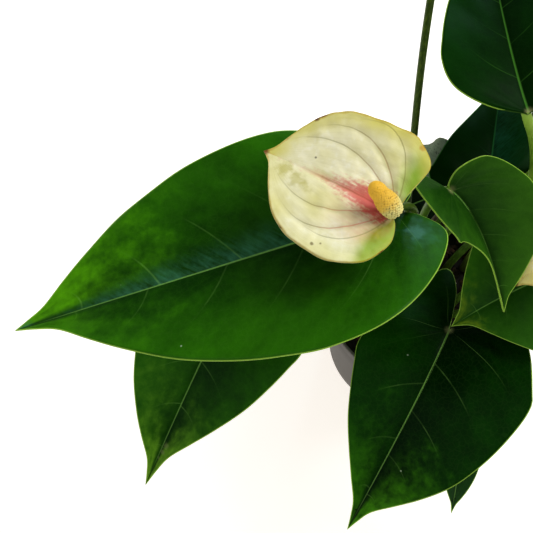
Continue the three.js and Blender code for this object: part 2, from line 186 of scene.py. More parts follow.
class Shader:
    """One material, built node by node, that ends in a Principled shader."""

    def __init__(self, name: str) -> None:
        """Makes an empty material."""
        self.material = bpy.data.materials.new(name)
        self.material.use_nodes = True
        self.tree = self.material.node_tree
        self.tree.nodes.clear()

    def node(
        self,
        kind: str,
        settings: dict[str, object] | None = None,
        sockets: Sequence[Value | None] | dict[str, Value] = (),
        output: int | str = 0,
    ) -> Wire:
        """Adds a node.

        Args:
            kind: Blender's name for the type of node.
            settings: attributes of the node, set first.
            sockets: values, wires or screen colours, in the order of its inputs or by their names.
            output: the output that is wanted.

        Returns:
            That output as a wire.
        """
        made = self.tree.nodes.new(kind)
        for name, value in (settings or {}).items():
            setattr(made, name, value)
        pairs = sockets.items() if isinstance(sockets, dict) else enumerate(sockets)
        for key, value in pairs:
            if isinstance(value, Wire):
                self.tree.links.new(value.socket, made.inputs[key])
            elif value is not None:
                made.inputs[key].default_value = paint(value) if isinstance(value, str) else value
        return Wire(self, made.outputs[output])

    def mix(self, factor: Wire, first: Value, second: Value) -> Wire:
        """Blends two colours.

        Args:
            factor: 0 for the first colour, 1 for the second.
            first: the colour below.
            second: the colour laid over it.

        Returns:
            The colour.
        """
        sockets = [factor, None, None, None, None, None, first, second]
        return self.node("ShaderNodeMix", {"data_type": "RGBA"}, sockets, output=2)

    def layered(self, colour: Wire, *layers: tuple[Wire, Value]) -> Wire:
        """Lays colours over one another.

        Args:
            colour: the colour at the bottom.
            *layers: how much of each layer shows, and its colour, from the bottom up.

        Returns:
            The colour.
        """
        for factor, over in layers:
            colour = self.mix(factor, colour, over)
        return colour

    def noise(
        self, scale: float, detail: float = 2.0, place: Wire | None = None, seed: float = 0.0
    ) -> Wire:
        """A cloudy pattern with values round 0.5.

        Args:
            scale: how many clouds fit in a unit of the place.
            detail: how many finer layers it has.
            place: where it is read, the object's own coordinates in metres if None.
            seed: shifts the pattern, so that two pieces differ.

        Returns:
            The pattern.
        """
        sockets = {"Vector": place or self.place(), "W": seed, "Scale": scale, "Detail": detail}
        return self.node("ShaderNodeTexNoise", {"noise_dimensions": "4D"}, sockets)

    def grain(self, detail: float, *place: Value) -> Wire:
        """A cloudy pattern that is stretched: one cloud to each unit of a place of three numbers."""
        return self.noise(1.0, detail, self.node("ShaderNodeCombineXYZ", sockets=place))

    def cells(self, scale: float, feature: str = "DISTANCE_TO_EDGE") -> Wire:
        """The distance inside a pattern of cells, to their edge or to their middle (F1)."""
        sockets = {"Vector": self.place(), "Scale": scale}
        return self.node("ShaderNodeTexVoronoi", {"feature": feature}, sockets, output="Distance")

    def place(self) -> Wire:
        """The object's own coordinates, in metres."""
        return self.node("ShaderNodeTexCoord", output="Object")

    def parts(self, vector: Wire) -> tuple[Wire, Wire, Wire]:
        """The three numbers of a vector."""
        split = self.node("ShaderNodeSeparateXYZ", sockets=[vector]).socket.node
        return tuple(Wire(self, socket) for socket in split.outputs)

    def attribute(self, name: str, output: str = "Vector") -> Wire:
        """An attribute that the mesh carries."""
        return self.node("ShaderNodeAttribute", {"attribute_name": name}, output=output)

    def bump(self, height: Wire, distance: float = MM, strength: float = 1.0) -> Wire:
        """A normal that follows a height.

        Args:
            height: the height, in units of the distance.
            distance: the length that a height of 1 stands for, in metres.
            strength: how much of it shows.

        Returns:
            The normal.
        """
        sockets = {"Strength": strength, "Distance": distance, "Height": height}
        return self.node("ShaderNodeBump", sockets=sockets)

    def skin(self, **sockets: Value) -> Material:
        """Ends the material.

        Args:
            **sockets: the Principled shader's sockets, with _ for the spaces in their names.

        Returns:
            The material.
        """
        named = {name.replace("_", " "): value for name, value in sockets.items()}
        surface = self.node("ShaderNodeBsdfPrincipled", sockets=named)
        output = self.tree.nodes.new("ShaderNodeOutputMaterial")
        self.tree.links.new(surface.socket, output.inputs["Surface"])
        return self.material


@dataclass(frozen=True)
class Spot:
    """A small mark or painted highlight on a blade: its place on the flat blade, its radius, its colour
    and its strength.
    """

    x: float
    y: float
    radius: float
    colour: str = "1a1208"
    strength: float = 1.0


class BladeSkin:
    """What the skins of leaves and spathes share: where a point lies on its flat blade."""

    def __init__(self, name: str) -> None:
        """Starts a material that reads a blade's own map."""
        self.shader = Shader(name)
        sheet = self.shader.node("ShaderNodeUVMap", {"uv_map": "Sheet"})
        across, self.along, _ = self.shader.parts(sheet)
        self.across = across * 2.0 - 1.0
        self.reach = abs(self.across)
        self.x, self.y, self.rim = self.shader.parts(self.shader.attribute("place"))
        self.under = self.shader.attribute("under", "Fac").step(0.3, 0.7)

    def lateral(self, count: float) -> Wire:
        """How far a point is from the nearest side vein, in steps from vein to vein."""
        bow = (self.reach * math.pi).sine() * VEIN_BOW
        return (self.along * count + bow).off_whole()

    def arcs(self) -> tuple[Wire, Wire, Wire]:
        """How far a point is from each of the veins that arch from stalk to tip, in mm."""
        return tuple(abs(away) for away in self.shader.parts(self.shader.attribute("arcs")))

    def away(self, x: float = 0.0, y: float = 0.0) -> Wire:
        """How far a point is from a place on the flat blade, in mm."""
        dx = self.x - x
        dy = self.y - y
        return (dx * dx + dy * dy).maths("SQRT")

    def spotted(self, colour: Wire, spots: Iterable[Spot]) -> Wire:
        """The colour with each spot laid over it, ragged at its edge."""
        ragged = self.shader.noise(260.0, 3.0, seed=2.0) - 0.5
        for spot in spots:
            away = self.away(spot.x, spot.y) + ragged * (spot.radius * 1.8)
            mark = away.step(spot.radius, spot.radius * 0.2) * (1.0 - self.under) * spot.strength
            colour = self.shader.mix(mark, colour, spot.colour)
        return colour


@dataclass(frozen=True)
class LeafFinish:
    """A leathery leaf: dark green round its midrib and lighter outwards, with fine pale veins, a light
    rim and a waxy gloss.

    Glow is painted light: the yellow-green of light shining through the thin leaf, towards the tip of
    one half. Bloom is a painted sheen: a bluish painted reflection that lies in streaks on the right
    half, most of it along the midrib.
    """

    shade: str = "0a3602"
    green: str = "38760a"
    # The colour of painted light shining through the thin tip of a half.
    glow: str = "6cb40c"
    vein: str = "a8dc74"
    rim: str = "a8cc58"
    under: str = "4f7430"
    junction: str = "a8a878"
    # The colour of the painted sheen, a bluish painted reflection.
    bloom: str = "56987a"
    dust: str = "b9c6b0"
    glow_right: float = 0.0
    glow_left: float = 0.0
    sheen_right: float = 0.0
    sheen_width: float = 0.34
    tone_right: float = 0.0
    tone_left: float = 0.0
    basal: float = 0.25
    thin_from: float = 0.72
    roughness: float = 0.27
    gloss: float = 0.1
    seed: float = 0.0
    spots: tuple[Spot, ...] = ()

    def ground(self, skin: BladeSkin) -> Wire:
        """The leaf's green, mottled in patches that lie along its side veins, and its glow."""
        shader = skin.shader
        cloud = shader.noise(24.0, 3.0, seed=self.seed)
        patches = shader.grain(4.0, skin.along * 22.0, skin.reach * 3.5, self.seed)
        mottle = shader.noise(260.0, 4.0, seed=self.seed + 3.0)
        tone = skin.reach * 0.5 + skin.along * 0.2 + cloud * 0.7 + patches * 0.6 + mottle * 0.3
        side = skin.across.step(-0.05, 0.05)
        tone = tone + side * (self.tone_right - self.tone_left) + self.tone_left
        colour = shader.mix((tone - 1.18).step(-0.5, 0.55), self.shade, self.green)

        # Glow: painted light, the yellow-green of light shining through the thin leaf towards the tip of
        # each half.
        right = skin.across.step(0.04, 0.4) * self.glow_right
        left = skin.across.step(-0.04, -0.4) * self.glow_left
        varied = cloud * 0.4 + patches * 0.4 + mottle * 0.2 - 0.5
        thin = (skin.along + skin.reach * 0.1 + varied).step(self.thin_from, self.thin_from + 0.46)
        return shader.mix((right + left) * thin, colour, self.glow)

    def material(self, name: str) -> Material:
        """Builds the leaf's material."""
        skin = BladeSkin(name)
        shader = skin.shader
        ground = self.ground(skin)
        streaks = shader.grain(2.0, skin.along * 150.0, skin.reach * 5.0, self.seed)
        mottle = shader.noise(420.0, 3.0, seed=self.seed + 4.0)
        broken = shader.noise(60.0, 2.0, seed=self.seed + 9.0).step(0.42, 0.62)
        net = shader.cells(330.0).step(0.09, 0.02)
        dust = shader.cells(70.0, "F1").step(0.05, 0.03) * (1.0 - skin.under)
        dust = dust * shader.noise(9.0, seed=self.seed).step(0.55, 0.6)

        fade = skin.reach.step(0.8, 0.1)
        basal = skin.lateral(LATERAL_VEINS / 2).step(0.011, 0.003) * fade
        basal = basal * skin.along.step(0.17, 0.2) * skin.along.step(0.5, 0.4)
        laterals = skin.lateral(LATERAL_VEINS).step(0.02, 0.005) * fade * skin.along.step(0.4, 0.5)
        veins = (laterals * (broken * 0.13 + 0.06)).maths("MAXIMUM", basal * self.basal)
        ribs = (abs(skin.x) / (1.35 - skin.along)).step(1.0, 0.3) * skin.along.step(1.0, 0.86)

        # Painted sheen: a bluish painted reflection in streaks along the midrib of the right half, and at
        # the tip.
        sheen_mask = skin.along.step(0.3, 0.55) * skin.along.step(0.98, 0.8)
        sheen_mask = sheen_mask * skin.reach.step(self.sheen_width, 0.02) + skin.along.step(0.955, 0.98)
        sheen_mask = sheen_mask * (skin.across.step(-0.01, 0.01) * self.sheen_right)
        sheen_mask = sheen_mask * (streaks * 1.5 + broken * 0.35 + mottle * 0.6 - 0.75).maths("MAXIMUM", 0.0)

        colour = shader.layered(
            ground,
            (sheen_mask.maths("MINIMUM", 0.85), self.bloom),
            (net * 0.012, self.vein),
            (veins, self.vein),
            (ribs * (0.85 - skin.along * 0.6), self.vein),
            ((skin.away() + streaks * 2.5).step(5.2, 1.2) * 0.75, self.junction),
            (skin.under * (1.0 - ribs * 0.6) * 0.85, self.under),
            (skin.rim.step(0.7, 0.3) * 0.9, self.rim),
        )
        colour = skin.spotted(colour, self.spots)
        colour = shader.mix(dust * 0.6, colour, self.dust)
        height = streaks * 0.06 + net * 0.02 - veins * 0.2 - ribs * 0.2
        return shader.skin(
            Base_Color=colour,
            Roughness=streaks * 0.14 + self.roughness + skin.under * 0.2,
            IOR=WAX_IOR,
            Specular_IOR_Level=self.gloss,
            Normal=shader.bump(height, strength=0.55),
        )


@dataclass(frozen=True)
class SpatheFinish:
    """A waxy cream spathe: quilted between arched veins, greener at its lobes, blushed at its base."""

    cream: str = "f0ebca"
    ivory: str = "ddd79c"
    chalk: str = "f8f5e2"
    lobe: str = "98b440"
    margin: str = "d8d070"
    rim: str = "c2a83c"
    scorch: str = "7a3f14"
    blush: str = "d2404a"
    vein: str = "8c8238"
    smudge: str = "b4a944"
    under: str = "cdd3a0"
    blush_amount: float = 1.0
    lobe_right: float = 1.0
    lobe_left: float = 1.0
    seed: float = 0.0
    spots: tuple[Spot, ...] = ()

    ARC_FADES: ClassVar[tuple[tuple[float, float], ...]] = ((36.0, 62.0), (28.0, 52.0), (14.0, 38.0))

    def flushed(self, skin: BladeSkin, colour: Wire) -> Wire:
        """Adds the pink: a feathered splash along the midrib and a haze on the left half."""
        shader = skin.shader
        fringe = shader.grain(4.0, skin.x * 0.85, skin.y * 0.16, self.seed + 5.0)
        fine = shader.noise(700.0, 3.0, seed=self.seed + 6.0)
        flush = skin.y.step(50.0, 4.0) * skin.y.step(-3.0, 3.0)
        spread = flush * 9.0 + 0.6 - abs(skin.x)
        band = (spread + (fringe - 0.5) * 13.0 + (fine - 0.5) * 7.0).step(-0.8, 6.0)
        core = abs(skin.x).step(1.5, 0.3) * skin.y.step(52.0, 34.0)
        splash = band.maths("MAXIMUM", core * 0.7) * (0.35 + flush * 0.5)
        haze = skin.across.step(0.0, -0.2) * skin.across.step(-0.75, -0.4) * skin.y.step(34.0, 4.0)
        haze = haze * (fringe + 0.1) * 0.35
        pink, amount = self.blush, self.blush_amount
        return shader.layered(colour, (splash * amount, pink), (haze * amount, pink))

    def material(self, name: str) -> Material:
        """Builds the spathe's material."""
        skin = BladeSkin(name)
        shader = skin.shader
        arcs = skin.arcs()
        cloud = shader.noise(55.0, 4.0, seed=self.seed)
        streaks = shader.grain(3.0, skin.reach * 30.0, skin.along * 3.0, self.seed)
        speckle = shader.noise(420.0, 3.0, seed=self.seed + 8.0)
        smudged = shader.noise(85.0, 2.0, seed=self.seed + 11.0).step(0.58, 0.72)
        fray = shader.noise(150.0, 3.0, seed=self.seed + 2.0)
        side = skin.across.step(-0.05, 0.05)
        lobes = side * self.lobe_right + (1.0 - side) * self.lobe_left
        near = skin.y.step(9.0, -2.5) * skin.reach.step(0.05, 0.45) + skin.along.step(0.6, 0.2) * 0.16
        colour = shader.layered(
            shader.mix(cloud.step(0.38, 0.8), self.cream, self.ivory),
            (streaks.step(0.5, 0.72) * 0.2, self.ivory),
            ((cloud + speckle * 0.8).step(0.92, 0.6) * 0.6, self.chalk),
            (smudged * skin.along.step(0.5, 0.8) * 0.3, self.smudge),
            (near * lobes * (cloud + 0.3), self.lobe),
            (skin.rim.step(12.0, 0.5) * (cloud + 0.3) * (0.3 + side * 0.7), self.margin),
        )

        veined = abs(skin.x).step(0.6, 0.2) * skin.y.step(50.0, 20.0)
        for away, (start, end) in zip(arcs, self.ARC_FADES):
            veined = veined.maths("MAXIMUM", away.step(0.45, 0.12) * skin.y.step(end, start))
        # Painted shade: a faint darker band along the grooves of the two inner arching veins, laid on
        # below.
        groove = arcs[0].step(2.6, 0.2).maths("MAXIMUM", arcs[1].step(2.6, 0.2))
        warm = skin.y.step(38.0, 10.0) * (1.0 - side * 0.7) * arcs[2].step(1.0, 5.0)
        burnt = skin.rim.step(0.9, 0.3) * fray.step(0.6, 0.7)
        colour = shader.layered(
            self.flushed(skin, colour),
            # Painted shade in the grooves beside the inner veins.
            (groove * skin.y.step(60.0, 30.0) * 0.16, self.vein),
            (veined * 0.4, shader.mix(warm, self.vein, self.blush)),
            ((skin.rim - (fray - 0.5) * 2.4).step(1.3, 0.3) * 0.55, self.rim),
            (burnt.maths("MAXIMUM", skin.along.step(0.97, 0.99)) * 0.85, self.scorch),
            (skin.under * 0.7, self.under),
        )
        height = streaks * 0.2 + cloud * 0.6 + speckle * 0.14 - veined * 0.14
        return shader.skin(
            Base_Color=skin.spotted(colour, self.spots),
            Roughness=cloud * 0.16 + 0.36,
            IOR=WAX_IOR,
            Specular_IOR_Level=0.35,
            Normal=shader.bump(height, strength=0.6),
        )


@dataclass(frozen=True)
class WitheredFinish:
    """Dead leaf: grey-green and papery, with dark creases."""

    pale: str = "94a284"
    dull: str = "6a7860"
    crease: str = "23241c"

    def material(self, name: str) -> Material:
        """Builds the dead leaf's material."""
        skin = BladeSkin(name)
        shader = skin.shader
        cloud = shader.noise(60.0, 4.0)
        creases = shader.grain(4.0, skin.along * 90.0, skin.reach * 5.0, 2.0)
        colour = shader.mix(cloud.step(0.35, 0.7), self.dull, self.pale)
        colour = shader.mix(creases.step(0.44, 0.34) * 0.75, colour, self.crease)
        height = creases * 0.9 + cloud * 0.4
        return shader.skin(Base_Color=colour, Roughness=0.75, Normal=shader.bump(height, strength=0.8))


@dataclass(frozen=True)
class StalkFinish:
    """Juicy stalk: green with fine lengthwise streaks, redder at its foot, paler under the blade."""

    shaft: str = "4e701e"
    streak: str = "6c9230"
    foot: str = "4a3a20"
    neck: str = "6f8f3a"
    roughness: float = 0.31

    def material(self, name: str) -> Material:
        """Builds the stalk's material."""
        shader = Shader(name)
        rise = shader.attribute("rise", "Fac")
        x, y, z = shader.parts(shader.place())
        streaks = shader.grain(3.0, x * 900.0, y * 900.0, z * 35.0)
        freckles = shader.noise(700.0, 2.0)
        colour = shader.layered(
            shader.mix(streaks.step(0.4, 0.68), self.shaft, self.streak),
            (rise.step(0.2, 0.0) * 0.8, self.foot),
            (rise.step(0.82, 1.0) * 0.8, self.neck),
            (freckles.step(0.66, 0.74) * 0.35, self.neck),
        )
        return shader.skin(
            Base_Color=colour,
            Roughness=streaks * 0.14 + self.roughness,
            Specular_IOR_Level=0.2,
            Normal=shader.bump(streaks * 0.35 + freckles * 0.1, strength=0.5),
        )


@dataclass(frozen=True)
class SpadixFinish:
    """Beaded spike: orange-yellow beads with painted shade in the gaps between them, and greenish cream
    ones at its base.
    """

    ripe: str = "eec858"
    tip: str = "f0c244"
    unripe: str = "ece29a"
    # The colour of the mottle and specks, and of the painted shade between the beads.
    mottle_and_cleft_shade: str = "8c5c12"
    shade: str = "7c6c22"

    def material(self, name: str) -> Material:
        """Builds the spike's material."""
        shader = Shader(name)
        rise = shader.attribute("rise", "Fac")
        bead = shader.attribute("bead", "Fac")
        cloud = shader.noise(260.0, 3.0)
        specks = shader.noise(900.0, 2.0, seed=4.0)
        base = (rise + (cloud - 0.5) * 0.4).step(0.46, 0.16)
        colour = shader.layered(
            shader.mix(rise.step(0.4, 0.95), self.ripe, self.tip),
            (base, self.unripe),
            (cloud.step(0.5, 0.75) * 0.2, self.mottle_and_cleft_shade),
            (specks.step(0.64, 0.72) * (1.0 - base) * 0.7, self.mottle_and_cleft_shade),
            # Painted shade in the gaps between the beads, deepest round the base.
            (bead.step(0.5, 0.0) * (0.5 + base * 0.4), self.mottle_and_cleft_shade),
            (bead.step(0.8, 0.2) * base * 0.55, self.shade),
        )
        grain = shader.bump(shader.noise(2200.0, 2.0), 0.2 * MM, 0.4)
        return shader.skin(Base_Color=colour, Roughness=0.52, IOR=WAX_IOR, Normal=grain)


@dataclass(frozen=True)
class PotFinish:
    """Matt moulded plastic, warm grey: fine grain, faint scuffs, dust of the mix near the rim."""

    grey: str = "5f5a54"
    # The scuffs' paler grey, also used as a painted highlight on the rim's crest.
    worn_and_rim_highlight: str = "7d7770"
    dust: str = "3b322a"

    def material(self, name: str) -> Material:
        """Builds the pot's material."""
        shader = Shader(name)
        x, y, z = shader.parts(shader.place())
        scuffs = shader.grain(4.0, x * 14.0, y * 14.0, z * 420.0)
        soiled = shader.noise(80.0, 4.0).step(0.5, 0.68) * z.step(0.075, 0.1)
        colour = shader.layered(
            shader.mix(scuffs.step(0.45, 0.75) * 0.4, self.grey, self.worn_and_rim_highlight),
            (soiled * 0.35, self.dust),
            # Painted highlight: the crest of the rim is lightened with the paler grey.
            (z.step(0.0975, 0.0995) * 0.6, self.worn_and_rim_highlight),
        )
        relief = shader.bump(shader.noise(1600.0, 3.0) * 0.06 + scuffs * 0.05, strength=0.5)
        return shader.skin(Base_Color=colour, Roughness=scuffs * 0.2 + 0.42, Normal=relief)


@dataclass(frozen=True)
class GritFinish:
    """Bark, peat or stone: two colours in clouds, with a rough, fibrous grain."""

    dark: str
    light: str
    scale: float = 240.0
    relief: float = 0.7

    def material(self, name: str) -> Material:
        """Builds the material."""
        shader = Shader(name)
        cloud = shader.noise(self.scale, 5.0)
        patches = shader.noise(self.scale * 0.2, 2.0)
        colour = shader.mix(cloud.step(0.35, 0.7), self.dark, self.light)
        colour = shader.mix(patches.step(0.4, 0.65) * 0.5, colour, self.dark)
        relief = shader.bump(cloud * self.relief, strength=0.8)
        return shader.skin(Base_Color=colour, Roughness=0.85, Normal=relief)


@dataclass(frozen=True)
class Half:
    """One half of a blade: its widest reach in mm, the depth of its lobe and the place of its widest
    part as shares of the length, how full it stays towards the tip, its fold in degrees and its cup."""

    width: float
    lobe: float
    belly: float
    full: float
    fold: float
    cup: float = 0.08
    heel: float | None = None
    shoulder: float = 0.56


# How far a blade's half narrows from its widest place (0) to its tip (1): (way, share of the width).
TAPER = ((0.15, 0.94), (0.3, 0.84), (0.45, 0.7), (0.6, 0.49), (0.72, 0.3), (0.83, 0.125), (0.92, 0.05))


def measured(places: Sequence[Vector]) -> list[float]:
    """How far along their run each of a row of places lies."""
    reaches = [0.0]
    for before, after in zip(places, places[1:]):
        reaches.append(reaches[-1] + (after - before).length)
    return reaches


class Outline:
    """One half of a heart-shaped outline, flat: from the stalk back round the lobe, out to the widest
    place and in to the tip."""

    STEPS = 40

    def __init__(self, half: Half, length: float) -> None:
        """Lays a smooth curve through the half's points."""
        width, lobe, belly = half.width, half.lobe, half.belly
        heel = 0.055 - 0.45 * lobe if half.heel is None else half.heel
        points = [
            Vector((0, 0)),
            Vector((0.12 * width, -0.7 * lobe)),
            Vector((0.38 * width, -lobe)),
            Vector((0.75 * width, heel)),
            Vector((0.95 * width, half.shoulder * belly)),
            Vector((width, belly)),
        ]
        for way, share in TAPER:
            points.append(Vector((share * width, belly + (1 - belly) * way ** (1 / half.full))))
        points.append(Vector((0, 1)))
        for point in points:
            point.y *= length
        self.places: list[Vector] = []
        for i in range(len(points) - 1):
            four = [points[max(0, min(len(points) - 1, i + k))] for k in (-1, 0, 1, 2)]
            self.places += [catmull(four, step / self.STEPS) for step in range(self.STEPS)]
        self.places.append(points[-1])
        self.reaches = measured(self.places)

    def at(self, share: float) -> Vector:
        """The point at a share of the outline's own length."""
        target = clamp(share) * self.reaches[-1]
        high = min(bisect_right(self.reaches, target), len(self.reaches) - 1)
        low = high - 1
        span = self.reaches[high] - self.reaches[low]
        return self.places[low].lerp(self.places[high], (target - self.reaches[low]) / max(span, 1e-9))


def catmull(four: Sequence[Vector], way: float) -> Vector:
    """The smooth curve through the middle two of four points, at a share of the way between them."""
    before, start, end, after = four
    pull = (end - before) * 0.5
    push = (after - start) * 0.5
    cubic = (start - end) * 2 + pull + push
    square = (end - start) * 3 - pull * 2 - push
    return cubic * way**3 + square * way**2 + pull * way + start


@dataclass(frozen=True)
class ArcVein:
    """A vein that arches from a spathe's stalk to its tip. At a share t of the length it lies
    reach * t ** rise * (1 - t) ** fall half-widths from the midrib."""

    reach: float
    rise: float
    fall: float


RIGHT_ARCS = (ArcVein(1.5, 0.88, 0.77), ArcVein(2.2, 0.77, 0.83), ArcVein(2.7, 0.55, 1.1))
LEFT_ARCS = (ArcVein(2.8, 1.5, 1.3), ArcVein(3.2, 1.1, 1.15), ArcVein(2.4, 0.69, 1.1))


class Sheet(Enum):
    """What a blade is made of, which sets its fine relief."""

    LEAF = "leaf"
    SPATHE = "spathe"
    WITHERED = "withered"


@dataclass(frozen=True)
class Stalk:
    """Where a stalk stands and how it bends: ring and angle of its foot, straight rise, and knee."""

    ring: float
    degrees: float
    rise: float
    knee: Point | None = None


@dataclass(frozen=True)
class BladeForm:
    """The bent sheet that a blade lies in: its midrib from stalk to tip, and its two halves."""

    rib: Rib
    left: Half
    right: Half
    wave: float
    waves: float
    stalk: Stalk
    roll: float = 0.0
    sheet: Sheet = Sheet.LEAF
    thickness: float = 0.9
    keel: float = 0.9

    STEPS: ClassVar[int] = 240
    KEEL_REACH: ClassVar[float] = 2.8
    LEAN_ROOM: ClassVar[float] = 0.9

    def __post_init__(self) -> None:
        """Measures the midrib and lays out the two halves."""
        base, bend, tip = (Vector(point) for point in self.rib)
        ways = [i / self.STEPS for i in range(self.STEPS + 1)]
        places = [base.lerp(bend, way).lerp(bend.lerp(tip, way), way) for way in ways]
        reaches = measured(places)
        chord = (tip - base).normalized()
        side = chord.cross(UP).normalized()
        roll = math.radians(self.roll)
        normal = side.cross(chord) * math.cos(roll) + side * math.sin(roll)
        self.__dict__.update(places=places, reaches=reaches, length=reaches[-1], normal=normal)
        self.__dict__["halves"] = (Outline(self.left, self.length), Outline(self.right, self.length))

    def frame(self, share: float) -> tuple[Vector, Vector, Vector, Vector]:
        """A point of the midrib at a share of its length.

        Args:
            share: 0 at the stalk, 1 at the tip.

        Returns:
            The point, and the directions along, across and up there.
        """
        target = clamp(share) * self.length
        high = bisect_left(self.reaches, target, 1, self.STEPS)
        before, after = self.places[high - 1], self.places[high]
        span = self.reaches[high] - self.reaches[high - 1]
        way = (target - self.reaches[high - 1]) / span
        base, bend, tip = (Vector(point) for point in self.rib)
        t = (high - 1 + way) / self.STEPS
        along = ((bend - base) * (1 - t) + (tip - bend) * t).normalized()
        across = along.cross(self.normal).normalized()
        return before.lerp(after, way), along, across, across.cross(along)

    def point(self, u: float, v: float) -> tuple[Vector, Vector]:
        """A point of the sheet.

        Args:
            u: -1 at the left edge, 0 on the midrib, 1 at the right edge.
            v: 0 at the stalk, 1 at the tip.

        Returns:
            The point in space, and its flat place with its distance from the rim as third number.
        """
        right = u >= 0
        half = self.right if right else self.left
        edge = self.halves[1 if right else 0].at(v)
        start = max(0.0, edge.y - VEIN_SWEEP * self.length * edge.x / half.width)
        reach = abs(u)
        y = lerp(start, edge.y, reach)
        x = edge.x * reach
        fold = math.radians(half.fold)
        wave = math.sin(2 * math.pi * (self.waves * v + (0.15 if right else 0.55)))
        rise = x * math.sin(fold) - half.cup * x * x / half.width
        rise += self.wave * wave * reach**2 * math.sin(math.pi * v)
        rise += self.relief(u, v, math.copysign(x, u), y)
        origin, along, across, up = self.frame(y / self.length)
        place = origin + along * min(y, 0.0) + across * math.copysign(x * math.cos(fold), u) + up * rise
        rim = math.hypot(edge.x - x, edge.y - y)
        return place, Vector((math.copysign(x, u), y, rim))

    def relief(self, u: float, v: float, x: float, y: float) -> float:
        """Height of veins and swellings over the plain sheet, in mm."""
        reach = abs(u)
        drift = noise.noise(Vector((x * 0.03, y * 0.03, self.length)))
        if self.sheet is Sheet.LEAF:
            bow = VEIN_BOW * math.sin(math.pi * reach)
            swell = 0.5 - 0.5 * math.cos(2 * math.pi * (v * LATERAL_VEINS + bow))
            swell *= math.sin(math.pi * reach) * clamp((v - 0.12) * 5)
            groove = math.exp(-((x / 1.4) ** 2)) * (1 - 0.7 * v)
            return 0.25 * swell + 1.5 * drift * reach - 0.45 * groove
        if self.sheet is Sheet.SPATHE:
            nearest = min(abs(x), *(abs(away) for away in self.arcs(x, y)))
            swell = 1 - math.exp(-((nearest / 2.2) ** 2))
            ripple = noise.noise(Vector((x * 0.16, y * 0.16, 4.0)))
            pucker = noise.noise(Vector((x * 0.42, y * 0.3, 9.0)))
            hold = math.sin(math.pi * clamp(v * 1.15)) ** 0.7
            return hold * (0.75 * swell + 0.8 * ripple + 0.45 * pucker) + 1.2 * drift * reach
        crease = noise.noise(Vector((x * 0.11, y * 0.3, 8.0)))
        fine = noise.noise(Vector((x * 0.3, y * 0.7, 3.0)))
        return 0.5 * crease * reach + 0.2 * fine + 0.6 * drift - 1.2 * reach

    def arcs(self, x: float, y: float) -> Vector:
        """How far a flat place is outside each of its half's arching veins, in mm."""
        half, veins = (self.right, RIGHT_ARCS) if x >= 0 else (self.left, LEFT_ARCS)
        t = clamp(y / self.length, 0.001, 0.999)
        found = []
        for vein in veins:
            bow = half.width * vein.reach * t**vein.rise * (1 - t) ** vein.fall
            slope = bow * (vein.rise / t - vein.fall / (1 - t)) / self.length
            found.append((abs(x) - bow) / math.hypot(1.0, slope))
        return Vector(found)

    def stalk_path(self, radius: float) -> tuple[Vector, Vector, Vector, Vector]:
        """The four points of the curve that the stalk follows, from its foot to its seat.

        Args:
            radius: the stalk's radius.

        Returns:
            Foot, end of the straight rise, knee and seat.
        """
        stalk = self.stalk
        angle = math.radians(stalk.degrees)
        start = Vector((stalk.ring * math.cos(angle), stalk.ring * math.sin(angle), STALK_FOOT))
        origin, along, _, up = self.frame(0)
        approach = (origin - start).normalized()
        arrival = origin - Vector(stalk.knee) if stalk.knee else up.lerp(approach, KNEE_LEAN)
        arrival.normalize()
        fold = math.radians(max(self.left.fold, self.right.fold))
        lean = radius * arrival.cross(up).length
        depth = self.thickness / math.cos(fold) + self.keel + SEAT_GAP + self.LEAN_ROOM * lean
        seat = origin + along * SEAT_INSET - up * depth
        knee = Vector(stalk.knee) if stalk.knee else seat - arrival * KNEE_REACH
        return start, start + UP * stalk.rise, knee, seat


def linked(name: str, data: bpy.types.ID) -> bpy.types.Object:
    """A new object in the scene that shows the data."""
    made = bpy.data.objects.new(name, data)
    bpy.context.scene.collection.objects.link(made)
    return made


def meshed(mesh: Mesh, name: str, material: Material) -> bpy.types.Object:
    """A new object with the mesh, which is freed, in one material."""
    data = bpy.data.meshes.new(name)
    mesh.to_mesh(data)
    mesh.free()
    data.materials.append(material)
    return linked(name, data)


def dressed(mesh: Mesh, name: str, material: Material, slot: str, *replaces: str) -> bpy.types.Object:
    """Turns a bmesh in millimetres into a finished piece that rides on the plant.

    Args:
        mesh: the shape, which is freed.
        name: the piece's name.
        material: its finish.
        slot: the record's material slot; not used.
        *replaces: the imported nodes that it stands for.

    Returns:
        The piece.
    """
    bmesh.ops.scale(mesh, vec=(MM, MM, MM), verts=mesh.verts)
    bmesh.ops.recalc_face_normals(mesh, faces=mesh.faces)
    for face in mesh.faces:
        face.smooth = True
    piece = meshed(mesh, name, material)
    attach(piece, "root")
    if replaces:
        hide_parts(*replaces)
    LOG.info("%s: %d faces", name, len(piece.data.polygons))
    return piece


def extruded(mesh: Mesh, edges: Sequence[Edge]) -> tuple[list[Vert], list[Edge]]:
    """Extrudes edges.

    Args:
        mesh: the shape that they belong to.
        edges: the edges.

    Returns:
        The new points and the new edges.
    """
    made = bmesh.ops.extrude_edge_only(mesh, edges=edges)["geom"]
    verts = [part for part in made if isinstance(part, Vert)]
    return verts, [part for part in made if isinstance(part, Edge)]


